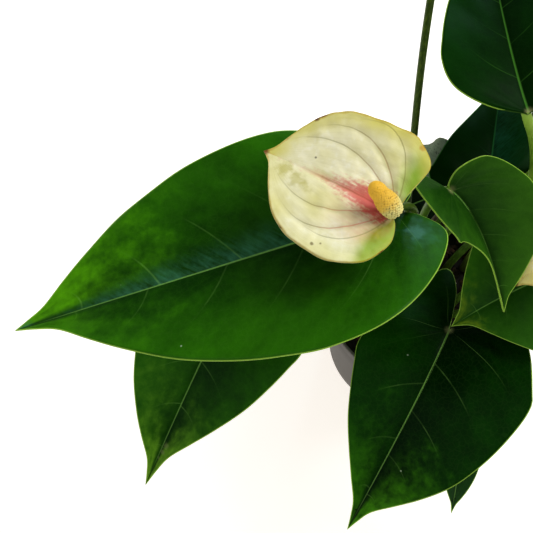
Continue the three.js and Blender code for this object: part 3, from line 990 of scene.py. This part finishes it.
def tube(path: Callable[[float], Vector], girth: Callable[[float], float], sides: int, steps: int) -> Mesh:
    """A round tube that follows a path, closed at both ends.

    Args:
        path: the point at a share of the way.
        girth: the radius at a share of the way.
        sides: how many sides the tube has.
        steps: how many rings it has after the first.

    Returns:
        The shape, with each point's share of the way as its attribute rise.
    """
    mesh = bmesh.new()
    rise = mesh.verts.layers.float.new("rise")
    ring = bmesh.ops.create_circle(mesh, cap_ends=False, radius=1.0, segments=sides)["verts"]
    edges = mesh.edges[:]
    turn = UP.rotation_difference(path(0.01) - path(0.0))
    frame = Matrix.LocRotScale(path(0.0), turn, Vector.Fill(3, girth(0.0)))
    bmesh.ops.transform(mesh, matrix=frame, verts=ring)
    for step in range(1, steps + 1):
        share = step / steps
        ring, edges = extruded(mesh, edges)
        heading = path(min(1.0, share + 0.01)) - path(share - 0.01)
        turn = (turn @ UP).rotation_difference(heading) @ turn
        fresh = Matrix.LocRotScale(path(share), turn, Vector.Fill(3, girth(share)))
        bmesh.ops.transform(mesh, matrix=fresh @ frame.inverted(), verts=ring)
        frame = fresh
        for vert in ring:
            vert[rise] = share
    bmesh.ops.holes_fill(mesh, edges=mesh.edges, sides=sides)
    return mesh


@dataclass
class Blade:
    """A leaf, spathe or dead leaf, with its stalk."""

    name: str
    form: BladeForm
    skin: Material
    stalk_skin: Material
    slot: str
    stalk_slot: str
    nodes: tuple[str, str]
    radius: float = 2.5
    rows: int = 92
    columns: int = 68
    gather: float = 1.35

    def sheet(self) -> Mesh:
        """The blade as a grid that is bent onto its sheet, extruded down and closed round its rim."""
        form = self.form
        mesh = bmesh.new()
        bmesh.ops.create_grid(mesh, x_segments=self.columns, y_segments=self.rows, size=1.0)
        flat = mesh.verts.layers.float_vector.new("place")
        under = mesh.verts.layers.float.new("under")
        veined = mesh.verts.layers.float_vector.new("arcs")
        chart = mesh.loops.layers.uv.new("Sheet")
        for vert in mesh.verts:
            u = math.copysign(abs(vert.co.x) ** self.gather, vert.co.x)
            v = (vert.co.y + 1) / 2
            for loop in vert.link_loops:
                loop[chart].uv = ((u + 1) / 2, v)
            vert.co, vert[flat] = form.point(u, v)
            vert[veined] = form.arcs(*vert[flat].xy)
        bmesh.ops.remove_doubles(mesh, verts=mesh.verts, dist=MERGE)
        made = bmesh.ops.extrude_face_region(mesh, geom=mesh.faces[:], use_keep_orig=True)["geom"]
        for vert in (part for part in made if isinstance(part, Vert)):
            x, y, _ = vert[flat]
            half = form.right if x >= 0 else form.left
            share = clamp(y / form.length)
            ridge = form.keel * (1 - 0.7 * share) * max(0.0, 1 - (x / form.KEEL_REACH) ** 2)
            depth = form.thickness / math.cos(math.radians(half.fold)) + ridge
            vert.co -= form.normal * depth
            vert[under] = 1.0
        return mesh

    def stalk(self) -> Mesh:
        """The stalk: a sheath at its foot, a slow taper, and a swollen neck under a leaf."""
        start, risen, knee, seat = self.form.stalk_path(self.radius)
        arrival = (seat - knee).normalized()
        top = seat + arrival * OVERRUN

        def path(share: float) -> Vector:
            """The point at a share of the way up."""
            left = 1 - share
            curve = start * left**3 + risen * (3 * left**2 * share)
            return curve + knee * (3 * left * share**2) + top * share**3

        swell = 0.2 if self.form.sheet is Sheet.LEAF else 0.06

        def girth(share: float) -> float:
            """The radius at a share of the way up."""
            sheath = 0.3 * math.exp(-((share / 0.09) ** 2))
            neck = swell * math.exp(-(((share - 0.955) / 0.035) ** 2))
            return self.radius * (lerp(1.0, 0.9, share) + sheath + neck)

        return tube(path, girth, 18, 70)

    def build(self) -> None:
        """Makes the blade and its stalk."""
        dressed(self.sheet(), self.name, self.skin, self.slot, self.nodes[0])
        dressed(self.stalk(), f"{self.name}_stalk", self.stalk_skin, self.stalk_slot, self.nodes[1])


@dataclass
class Spadix:
    """The beaded spike at a spathe's notch: beads lie in spirals, round and open at its base and
    crowded at its tip."""

    name: str
    form: BladeForm
    length: float
    radius: float
    towards: Point
    skin: Material
    neck: float = 0.78
    set_back: float = 0.7
    bead_size: float = 1.36
    crowded: float = 0.14
    stray: float = 0.22
    buried: float = 1.1
    across: int = 156
    up: int = 122

    def girth(self, way: float) -> float:
        """The radius at a share of the height."""
        blunt = math.sqrt(max(0.0, 1 - max(0.0, (way - 0.72) / 0.28) ** 2))
        swell = (1 - self.neck) * math.sin(math.pi * min(1.0, way * 1.6))
        return self.radius * (self.neck + swell) * blunt

    def place(self, way: float, angle: float, swell: float = 0.0) -> Vector:
        """A point of the spike, which stands on the origin."""
        reach = self.girth(way) + swell
        return Vector((reach * math.cos(angle), reach * math.sin(angle), way * self.length))

    def beads(self) -> KDTree:
        """The middles of the beads: each a golden angle further round than the one below it."""
        area = 2 * math.pi * self.radius * self.length
        count = int(area / (0.87 * self.bead_size**2))
        tree = KDTree(count)
        golden = math.pi * (3 - math.sqrt(5))
        draw = random.Random(count)
        for i in range(count):
            left = 1 - (i + 0.5) / count
            if left <= self.crowded:
                left = self.crowded * (left / self.crowded) ** 1.5
            stray = Vector([draw.uniform(-self.stray, self.stray) for _ in range(3)])
            tree.insert(self.place(1 - left, i * golden) + stray, i)
        tree.balance()
        return tree

    def build(self) -> None:
        """Makes the spike: a grid wrapped round an axis, with a bead raised at each place."""
        mesh = bmesh.new()
        bmesh.ops.create_grid(mesh, x_segments=self.across, y_segments=self.up, size=1.0)
        rise = mesh.verts.layers.float.new("rise")
        bead = mesh.verts.layers.float.new("bead")
        origin, along, _, up = self.form.frame(0)
        axis = Vector(self.towards).normalized()
        lean = math.sqrt(max(0.0, 1 - axis.dot(up) ** 2))
        foot = origin - along * self.set_back + up * (SEAT_GAP + 0.15 + self.neck * self.radius * lean)
        turn = UP.rotation_difference(axis)
        tree = self.beads()
        for vert in mesh.verts:
            angle = math.pi * (vert.co.x + 1)
            way = (vert.co.y + 1) / 2
            distance = tree.find(self.place(way, angle))[2]
            height = math.sqrt(max(0.0, 1 - (distance / (0.6 * self.bead_size)) ** 2))
            relief = lerp(1.0, 0.4, clamp(way * 1.5)) * min(1.0, self.girth(way) / 2.0)
            local = self.place(way, angle, relief * (height - 0.55))
            if way == 0:
                local = Vector((0, 0, -self.buried))
            vert[rise] = way
            vert[bead] = height
            vert.co = foot + turn @ local
        bmesh.ops.remove_doubles(mesh, verts=mesh.verts, dist=MERGE)
        dressed(mesh, self.name, self.skin, "spadix", self.name.replace("spike", "spadix"))


@dataclass
class Pot:
    """Plain tapered pot with a collar, a rolled rim, a flat foot and drain holes."""

    height: float = 100.0
    rim: float = 62.5
    foot: float = 54.0
    wall: float = 2.4
    floor: float = 3.0
    middle: float = 36.0
    collar: float = 92.0
    roll: float = 1.25
    drain: float = 4.0
    drain_ring: float = 27.0
    drains: int = 5
    steps: int = 160
    finish: PotFinish = PotFinish()

    def profile(self) -> list[tuple[float, float]]:
        """Radius and height, from the middle of the foot up the outside, over the rim and down inside."""
        slope = (self.rim - self.foot) / self.height
        inner = self.foot + slope * self.floor - self.wall
        points = [(self.middle, 0.0), (self.foot - 1.6, 0.0), (self.foot - 0.5, 0.3), (self.foot, 1.2)]
        points += [(self.foot + slope * z, z) for z in (12, 30, 50, 70, 88)]
        points += [(self.rim - 1.5, self.collar), (self.rim - 0.75, self.collar + 0.8)]
        points += [(self.rim - 0.35, self.collar + 2.2)]
        lip, crest = self.rim - 1.3, self.height - self.roll
        for i in range(9):
            angle = math.pi * i / 8
            points.append((lip + 1.15 * math.cos(angle), crest + self.roll * math.sin(angle)))
        points += [(inner + slope * z, z) for z in (80, 50, 20, self.floor + 1)]
        return points + [(inner - 1.2, self.floor), (self.middle, self.floor)]

    def floored(self, mesh: Mesh, level: float) -> list[list[Edge]]:
        """Fills one side of the floor round its drain holes.

        Args:
            mesh: the pot, as far as it is made.
            level: the height of that side.

        Returns:
            The edges round each hole.
        """
        holes = []
        for i in range(self.drains):
            angle = 2 * math.pi * i / self.drains
            place = Vector((self.drain_ring * math.cos(angle), self.drain_ring * math.sin(angle), level))
            made = bmesh.ops.create_circle(
                mesh, radius=self.drain, segments=24, matrix=Matrix.Translation(place)
            )
            holes.append(list({edge for vert in made["verts"] for edge in vert.link_edges}))
        rims = [edge for edge in mesh.edges if edge.is_boundary]
        rims = [edge for edge in rims if all(abs(vert.co.z - level) < MERGE for vert in edge.verts)]
        rims += [edge for loop in holes for edge in loop]
        bmesh.ops.triangle_fill(mesh, use_beauty=True, edges=rims)
        return holes

    def build(self) -> None:
        """Spins the wall, fills the floor round its drain holes and joins their rims."""
        mesh = bmesh.new()
        verts = [mesh.verts.new((radius, 0, height)) for radius, height in self.profile()]
        edges = [mesh.edges.new(pair) for pair in zip(verts, verts[1:])]
        wall = [*verts, *edges]
        turn = {"cent": (0, 0, 0), "axis": UP, "angle": 2 * math.pi, "steps": self.steps}
        bmesh.ops.spin(mesh, geom=wall, use_merge=True, **turn)
        for low, high in zip(self.floored(mesh, 0.0), self.floored(mesh, self.floor)):
            bmesh.ops.bridge_loops(mesh, edges=[*low, *high])
        piece = dressed(mesh, "pot_shell", self.finish.material("pot_plastic"), "pot", "pot")
        for face in piece.data.polygons:
            face.use_smooth = abs(face.normal.z) < 0.95 or face.center.z > 0.09


@dataclass
class PottingMix:
    """Peat and bark that fill the pot: a rough bed, loose chips on it and a few white crumbs."""

    top: float = 86.0
    mound: float = 4.0
    bottom: float = 3.4
    radius: float = 58.3
    margin: float = 3.5
    foot_share: float = 0.88
    sides: int = 120
    rings: int = 46
    chips: int = 420
    crumbs: int = 70
    seed: int = 11

    def height(self, x: float, y: float) -> float:
        """Height of the bed at a place."""
        share = min(1.0, math.hypot(x, y) / self.radius)
        clods = noise.noise(Vector((x * 0.12, y * 0.12, 1.0))) * 1.6
        grit = noise.noise(Vector((x * 0.5, y * 0.5, 5.0))) * 0.7
        return self.top + self.mound * (1 - share) * share**0.1 + (clods + grit) * (1 - share**6)

    def bed(self) -> None:
        """The bed: a plug whose top is a fine grid pressed into clods."""
        mesh = bmesh.new()
        bmesh.ops.create_circle(mesh, cap_ends=False, radius=self.radius, segments=self.sides)
        edges = mesh.edges[:]
        for left in range(self.rings, 1, -1):
            verts, edges = extruded(mesh, edges)
            shrink = (left - 1) / left
            bmesh.ops.scale(mesh, vec=(shrink, shrink, 1), verts=verts)
        bmesh.ops.holes_fill(mesh, edges=edges, sides=self.sides)
        for vert in mesh.verts:
            vert.co.z = self.height(vert.co.x, vert.co.y)
        skirt, foot = extruded(mesh, [edge for edge in mesh.edges if edge.is_boundary])
        for vert in skirt:
            vert.co.z = self.bottom
        bmesh.ops.scale(mesh, vec=(self.foot_share, self.foot_share, 1), verts=skirt)
        bmesh.ops.holes_fill(mesh, edges=foot, sides=self.sides)
        peat = GritFinish("120c08", "2e2118").material("peat")
        dressed(mesh, "peat_bed", peat, "potting_mix", "potting_mix")

    def scattered(
        self, name: str, count: int, size: tuple[float, float], flat: float, finish: GritFinish
    ) -> None:
        """Loose pieces that lie on the bed.

        Args:
            name: the piece's name.
            count: how many there are.
            size: smallest and largest half-length of one.
            flat: how thick one is for its length.
            finish: what they are made of.
        """
        draw = random.Random(self.seed + count)
        mesh = bmesh.new()
        for _ in range(count):
            ring = (self.radius - self.margin) * math.sqrt(draw.random())
            angle = draw.uniform(0, 2 * math.pi)
            x, y = ring * math.cos(angle), ring * math.sin(angle)
            half = draw.uniform(*size)
            tilt = Quaternion((draw.gauss(0, 1), draw.gauss(0, 1), 0.3), draw.uniform(-0.5, 0.5))
            spin = Quaternion(UP, draw.uniform(0, math.pi)) @ tilt
            stretch = Vector((half, half * draw.uniform(0.45, 0.8), half * flat * draw.uniform(0.7, 1.3)))
            where = Vector((x, y, self.height(x, y) + 0.35 * half * flat))
            made = bmesh.ops.create_icosphere(mesh, subdivisions=1, radius=1.0)["verts"]
            for vert in made:
                vert.co *= draw.uniform(0.78, 1.18)
            bmesh.ops.transform(mesh, matrix=Matrix.LocRotScale(where, spin, stretch), verts=made)
        bmesh.ops.bevel(
            mesh, geom=mesh.edges[:], offset=0.18, segments=1, profile=0.5, affect="EDGES", material=-1
        )
        dressed(mesh, name, finish.material(f"{name}_grit"), "potting_mix")

    def build(self) -> None:
        """Makes the bed, the chips and the crumbs."""
        self.bed()
        bark = GritFinish("2a1c10", "5d4026", 320.0)
        stone = GritFinish("b9b3a4", "e4dfd2", 500.0, 0.3)
        self.scattered("bark_chips", self.chips, (1.6, 4.4), 0.38, bark)
        self.scattered("white_crumbs", self.crumbs, (0.7, 1.5), 0.8, stone)


@dataclass(frozen=True)
class Lamp:
    """A soft light far off: where it shines from, how strong it is and how wide it looks."""

    name: str
    place: Point
    strength: float
    degrees: float
    colour: Point = (1.0, 1.0, 1.0)

    def build(self) -> None:
        """Hangs the light."""
        data = bpy.data.lights.new(self.name, "SUN")
        data.energy = self.strength
        data.angle = math.radians(self.degrees)
        data.color = self.colour
        lamp = linked(self.name, data)
        lamp.location = self.place
        lamp.rotation_euler = Vector(self.place).to_track_quat("Z", "Y").to_euler()


@dataclass
class Studio:
    """Pale floor that glows a little, soft lights, pale surroundings and the camera."""

    eye: Point = (-0.1017, -0.245, 0.756)
    downward: float = 68.0
    lens: float = 70.0
    sensor: float = 36.0
    spread: float = 40.0
    glow: float = 0.81
    surroundings: str = "f2f5f8"
    brightness: float = 0.34
    contrast: float = 0.8
    lamps: tuple[Lamp, ...] = (
        Lamp("window", (1.5, 0.9, 2.0), 2.2, 34.0),
        Lamp("skylight", (0.24, 0.9, 0.42), 0.36, 10.0, (0.6, 0.9, 1.0)),
        Lamp("fill", (-1.2, -1.0, 1.6), 0.7, 60.0),
    )

    def camera(self) -> None:
        """Sets the camera where the photograph was taken from."""
        data = bpy.data.cameras.new("eye")
        data.lens = self.lens
        data.sensor_width = self.sensor
        camera = linked("eye", data)
        camera.location = self.eye
        camera.rotation_euler = (math.radians(90.0 - self.downward), 0.0, 0.0)
        bpy.context.scene.camera = camera

    def floor(self) -> None:
        """Lays the floor, whose own glow keeps the shadows on it light and warm."""
        mesh = bmesh.new()
        bmesh.ops.create_grid(mesh, x_segments=4, y_segments=4, size=self.spread)
        shader = Shader("floor_paint")
        colour = shader.mix(shader.noise(3.0) * 0.2, "b8bbc0", "b5b7bc")
        skin = shader.skin(
            Base_Color=colour, Roughness=0.8, Emission_Color="fff7ee", Emission_Strength=self.glow
        )
        meshed(mesh, "floor", skin)

    def world(self) -> None:
        """Pale surroundings that light the plant softly from all round."""
        world = bpy.data.worlds.new("surroundings")
        world.use_nodes = True
        back = world.node_tree.nodes["Background"]
        back.inputs["Color"].default_value = paint(self.surroundings)
        back.inputs["Strength"].default_value = self.brightness
        bpy.context.scene.world = world

    def build(self) -> None:
        """Sets the camera, the floor and the light."""
        view = bpy.context.scene.view_settings
        view.view_transform = "Standard"
        view.gamma = self.contrast
        self.camera()
        self.floor()
        self.world()
        for lamp in self.lamps:
            lamp.build()
        LOG.info("studio: %d lamps", len(self.lamps))


@dataclass(frozen=True)
class Leaf:
    """A leaf: its form and its finish."""

    form: BladeForm
    finish: LeafFinish
    slot: str = "leaf"


@dataclass(frozen=True)
class Flower:
    """A flower: its spathe, and the length, radius and direction of its spadix."""

    form: BladeForm
    finish: SpatheFinish
    length: float
    radius: float
    towards: Point


def even(rib: Rib, half: Half, wave: float, waves: float, stalk: Stalk) -> BladeForm:
    """The form of a leaf whose two halves are alike."""
    return BladeForm(rib, half, half, wave, waves, stalk)


def spathe(rib: Rib, left: Half, right: Half, stalk: Stalk, roll: float = 0.0) -> BladeForm:
    """The form of a spathe: thin, hardly waved and without a keel."""
    return BladeForm(rib, left, right, 0.8, 2.0, stalk, roll, Sheet.SPATHE, thickness=0.8, keel=0.0)


LEAVES: dict[str, Leaf] = {
    "front_left_big": Leaf(
        BladeForm(
            ((-39, -32, 300), (-113, -63, 315), (-231, -76, 250)),
            Half(62, 0.075, 0.25, 0.92, 16.5, 0.03, heel=0.035),
            Half(60, 0.085, 0.245, 1.35, 4, 0.03, heel=-0.04),
            2.0, 2.2, Stalk(OUTER_RING, 214, 95),
        ),
        LeafFinish(
            # The right half carries a painted sheen, a bluish painted reflection.
            glow_right=0.95, glow_left=0.35, sheen_right=0.6, roughness=0.23, seed=1.0,
            # Painted highlight: the two bluish spots on the left lobe are a painted reflection of the sky.
            spots=(Spot(-17.0, -4.0, 12.0, "4c8478", 0.22), Spot(-16.0, -2.0, 6.0, "6ca09c", 0.26)),
        ),
    ),
    "left_low": Leaf(
        BladeForm(
            ((-114, -24, 200), (-139, -76, 200), (-173, -135, 140)),
            Half(51.5, 0.1, 0.2, 0.79, 11), Half(45.5, 0.1, 0.2, 1.1, 11.5),
            2.0, 2.5, Stalk(OUTER_RING, 188, 95),
        ),
        LeafFinish(
            shade="0a3602", green="387a08", glow="94c43c", glow_right=0.7, glow_left=0.6,
            tone_right=0.1, tone_left=-0.12, seed=2.0,
            spots=(
                Spot(-2.2, 113.0, 2.6, "84905c", 0.5),
                Spot(-1.8, 117.5, 2.0, "84905c", 0.5),
                Spot(-0.8, 122.0, 1.4, "84905c", 0.4),
            ),
        ),
    ),
    "front_low": Leaf(
        BladeForm(
            ((7, -49, 170), (-12, -90, 184), (-52, -156, 100)),
            Half(61, 0.14, 0.175, 0.96, 11, 0.06, shoulder=0.68),
            Half(46, 0.31, 0.22, 0.82, 7, 0.06),
            2.0, 2.5, Stalk(OUTER_RING, 266, 45), roll=5,
        ),
        LeafFinish(
            shade="012002", green="144c02", glow="64b01c", glow_right=0.4, glow_left=0.8,
            tone_right=0.05, tone_left=-0.15, basal=0.4, gloss=0.07, seed=3.0,
            spots=(Spot(1.2, 130.0, 1.0, "10180a"),),
        ),
        "deep_leaf",
    ),
    "front_lowest": Leaf(
        BladeForm(
            ((18, -84, 126), (21, -106, 122), (19, -141, 68)),
            Half(16, 0.1, 0.2, 1.15, 14), Half(14, 0.1, 0.2, 1.15, 14),
            1.0, 2.0, Stalk(OUTER_RING, 290, 48),
        ),
        LeafFinish(
            shade="163c10", green="24521c", roughness=0.33, seed=4.0,
            spots=(Spot(1.2, 70.8, 1.0, "10180a"), Spot(-0.6, 69.2, 0.7, "10180a")),
        ),
        "deep_leaf",
    ),
    "centre_folded": Leaf(
        BladeForm(
            ((-6, -6, 271), (15, -12, 253), (32, -51, 207)),
            Half(36, 0.065, 0.28, 1.07, 36.5, 0.05, heel=0, shoulder=0.6),
            Half(36, 0.36, 0.09, 0.5, 44.5, 0.05, heel=-0.145, shoulder=0.62),
            2.0, 1.5, Stalk(INNER_RING, 120, 90), roll=-6,
        ),
        LeafFinish(shade="1a460c", green="44761c", tone_right=-0.1, tone_left=0.05, seed=5.0),
    ),
    "right_low": Leaf(
        BladeForm(
            ((82, -20, 207), (37, -36, 209), (7, -49, 176)),
            Half(52, 0.1, 0.245, 0.93, 9.5), Half(51.5, 0.1, 0.25, 1.0, 2.5),
            2.0, 2.3, Stalk(OUTER_RING, 338, 85), roll=-12,
        ),
        LeafFinish(
            shade="20500c", green="40761a", glow="a8b824", glow_right=0.9, glow_left=0.9,
            thin_from=0.84, seed=6.0,
        ),
    ),
    "back_top": Leaf(
        BladeForm(
            ((31, 23, 300), (21, 45, 311), (23, 167, 278)),
            Half(38, -0.036, 0.225, 0.83, 10, heel=0.086, shoulder=0.63), Half(38, -0.02, 0.22, 1.1, 10),
            1.5, 2.0, Stalk(50, 18, 90, (66, 26, 210)), roll=-2,
        ),
        LeafFinish(
            shade="042402", green="0e4004", vein="5e9c3c", tone_right=-0.1, tone_left=0.1, gloss=0.05,
            seed=7.0,
        ),
    ),
    "back_dark": Leaf(
        BladeForm(
            ((23, 9, 230), (25, 39, 245), (44, 105, 210)),
            Half(36, 0.075, 0.103, 0.535, 12), Half(22.5, 0.027, 0.335, 0.71, 11, heel=0.167),
            1.0, 2.0, Stalk(INNER_RING, 84, 70),
        ),
        LeafFinish(
            # The whole right half carries a painted sheen, a teal painted reflection.
            shade="022402", green="0a3a04", vein="2e6e3a", rim="4c8440", bloom="245c46",
            sheen_right=0.6, sheen_width=1.8, tone_left=-0.1, gloss=0.04, seed=8.0,
        ),
        "deep_leaf",
    ),
    "inner_low": Leaf(
        BladeForm(
            ((-20, 48, 120), (4, 60, 128), (44, 78, 110)),
            Half(24, 0.1, 0.22, 1.0, 12), Half(22, 0.1, 0.22, 1.0, 12),
            1.0, 2.0, Stalk(OUTER_RING, 150, 38),
        ),
        LeafFinish(shade="031803", green="0a2c06", seed=13.0),
        "deep_leaf",
    ),
    "right_high": Leaf(
        even(
            ((97, 47, 252), (140, 52, 268), (214, 60, 214)),
            Half(50, 0.11, 0.2, 1.05, 12), 2.5, 2.4, Stalk(25, 42, 90),
        ),
        LeafFinish(glow_right=0.4, glow_left=0.4, seed=9.0),
    ),
    "back_right": Leaf(
        even(
            ((64, 104, 238), (92, 136, 250), (132, 198, 194)),
            Half(46, 0.11, 0.2, 1.05, 12), 2.0, 2.6, Stalk(OUTER_RING, 66, 105),
        ),
        LeafFinish(glow_left=0.4, seed=10.0),
    ),
    "back_low": Leaf(
        even(
            ((36, 166, 214), (30, 205, 222), (2, 262, 166)),
            Half(42, 0.1, 0.2, 1.0, 12), 2.0, 2.2, Stalk(OUTER_RING, 90, 100, (75, 118, 185)),
        ),
        LeafFinish(shade="061f04", green="14420a", glow="2f6a12", glow_right=0.5, seed=11.0),
        "deep_leaf",
    ),
    "right_front": Leaf(
        even(
            ((108, -70, 178), (140, -96, 186), (188, -150, 124)),
            Half(46, 0.11, 0.2, 1.0, 12), 2.0, 2.4, Stalk(OUTER_RING, 314, 90),
        ),
        LeafFinish(glow_right=0.5, glow_left=0.3, seed=12.0),
    ),
    "young": Leaf(
        even(
            ((72, 84, 290), (84, 94, 320), (104, 108, 350)),
            Half(19, 0.08, 0.22, 1.0, 30), 1.0, 1.5, Stalk(43, 34, 100, (90, 66, 230)),
        ),
        LeafFinish(shade="3c6416", green="5c8a26", glow="8fb040", under="86a65a", roughness=0.23),
        "young_leaf",
    ),
}

# Halves of the spathes whose two halves are alike.
BROAD = Half(37, 0.08, 0.3, 1.9, 8, 0)
NARROW = Half(30, 0.08, 0.3, 1.6, 10, 0)
HIGH = Half(36, 0.08, 0.3, 1.9, 8, 0)

FLOWERS: dict[str, Flower] = {
    "front": Flower(
        spathe(
            ((-45, -47, 330), (-67, -35, 335), (-103, -15, 330)),
            Half(37, 0.086, 0.3, 1.63, 6.5, 0, heel=0.006),
            Half(37, 0.038, 0.15, 2.25, 8, 0, heel=-0.075, shoulder=0.31),
            Stalk(INNER_RING, 186, 120, (-21, -22, 310)), roll=-3,
        ),
        SpatheFinish(
            lobe_left=1.6, seed=1.0,
            spots=(
                Spot(-4.0, 53.0, 5.5, "b8b050", 0.5),
                Spot(-6.5, 45.5, 6.0, "b4ac50", 0.5),
                Spot(-8.0, 39.5, 4.0, "b4ac50", 0.4),
                Spot(6.9, 42.7, 0.9, "4a3a14", 0.8),
                Spot(-32.5, 24.3, 1.2, "6b5a1c", 0.7),
                Spot(-30.5, 21.0, 0.8, "6b5a1c", 0.6),
                Spot(24.6, 51.5, 2.2, "5a2414"),
                Spot(33.8, 2.3, 2.4, "c89a24", 0.7),
            ),
        ),
        20.6, 5.2, (-15, 8, 20),
    ),
    "back": Flower(
        spathe(
            ((-15, 94, 396), (-14, 120, 404), (-7, 160, 398)),
            BROAD, BROAD, Stalk(INNER_RING, 150, 110, (-33, 44, 320)),
        ),
        SpatheFinish(blush_amount=0.6, seed=2.0),
        32.0, 5.0, (0, -6, 31),
    ),
    "right": Flower(
        spathe(
            ((92, 6, 252), (70, -14, 248), (37, -38, 213)),
            NARROW, NARROW, Stalk(45, 352, 100, (90, 44, 226)),
        ),
        SpatheFinish(cream="f8eeb0", ivory="f0e08a", lobe_right=0.3, lobe_left=0.3, seed=3.0),
        28.0, 4.8, (3, 2, 27),
    ),
    "high": Flower(
        spathe(
            ((72, 140, 360), (88, 160, 370), (114, 192, 364)),
            HIGH, HIGH, Stalk(50, 45, 120, (86, 96, 290)),
        ),
        SpatheFinish(blush_amount=0.5, seed=4.0),
        32.0, 5.0, (-4, 6, 31),
    ),
}

WITHERED = BladeForm(
    ((23, 40, 189), (2, 58, 194), (-14, 80, 160)),
    Half(22, 0.1, 0.25, 1.2, 14), Half(16, 0.1, 0.25, 1.2, 14),
    3.0, 3.4, Stalk(OUTER_RING, 116, 60), sheet=Sheet.WITHERED, keel=0.0,
)


@dataclass
class Plant:
    """Leaves, flowers and the dead leaf, each on its stalk, and the stem that they rise from."""

    leaf_stalk: StalkFinish = StalkFinish()
    flower_stalk: StalkFinish = StalkFinish(shaft="38500c", streak="566c18", neck="4c6418")
    pale_stalk: StalkFinish = StalkFinish(shaft="86b03a", streak="a2c454", neck="a8c85c")
    dry_stalk: StalkFinish = StalkFinish(shaft="4a4130", streak="6d6248", neck="6d6a58")

    def leaves(self) -> None:
        """Every leaf."""
        plain = self.leaf_stalk.material("leaf_stalk_skin")
        pale = self.pale_stalk.material("pale_stalk_skin")
        for name, leaf in LEAVES.items():
            Blade(
                name=f"blade_{name}",
                form=leaf.form,
                skin=leaf.finish.material(f"leaf_skin_{name}"),
                stalk_skin=pale if name in ("back_top", "young") else plain,
                slot=leaf.slot,
                stalk_slot="leaf_stalk",
                nodes=(f"leaf_{name}", f"leaf_stalk_{name}"),
            ).build()

    def flowers(self) -> None:
        """Every flower."""
        stalk = self.flower_stalk.material("flower_stalk_skin")
        beads = SpadixFinish().material("spadix_beads")
        for name, flower in FLOWERS.items():
            Blade(
                name=f"bloom_{name}",
                form=flower.form,
                skin=flower.finish.material(f"spathe_skin_{name}"),
                stalk_skin=stalk,
                slot="spathe",
                stalk_slot="flower_stalk",
                nodes=(f"spathe_{name}", f"flower_stalk_{name}"),
                radius=2.1,
            ).build()
            Spadix(
                f"spike_{name}", flower.form, flower.length, flower.radius, flower.towards, beads
            ).build()

    def dead_leaf(self) -> None:
        """The withered leaf."""
        Blade(
            name="dry_leaf",
            form=WITHERED,
            skin=WitheredFinish().material("dry_leaf_skin"),
            stalk_skin=self.dry_stalk.material("dry_stalk_skin"),
            slot="withered_leaf",
            stalk_slot="withered_leaf",
            nodes=("withered_leaf", "withered_stalk"),
            radius=1.8,
        ).build()

    def stem(self, frame: dict) -> None:
        """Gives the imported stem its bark."""
        stem = frame["nodes"]["stem"]
        bark = GritFinish("3a3018", "6e6238", 300.0).material("stem_bark")
        if stem.data.materials:
            stem.material_slots[0].material = bark
        else:
            stem.data.materials.append(bark)

    def build(self, frame: dict) -> None:
        """Grows the plant."""
        self.leaves()
        self.flowers()
        self.dead_leaf()
        self.stem(frame)


def main() -> None:
    """Loads the frame and dresses it."""
    logging.basicConfig(level=logging.INFO, format="%(message)s")
    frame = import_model()
    Studio().build()
    Pot().build()
    PottingMix().build()
    Plant().build(frame)


if __name__ == "__main__":
    main()
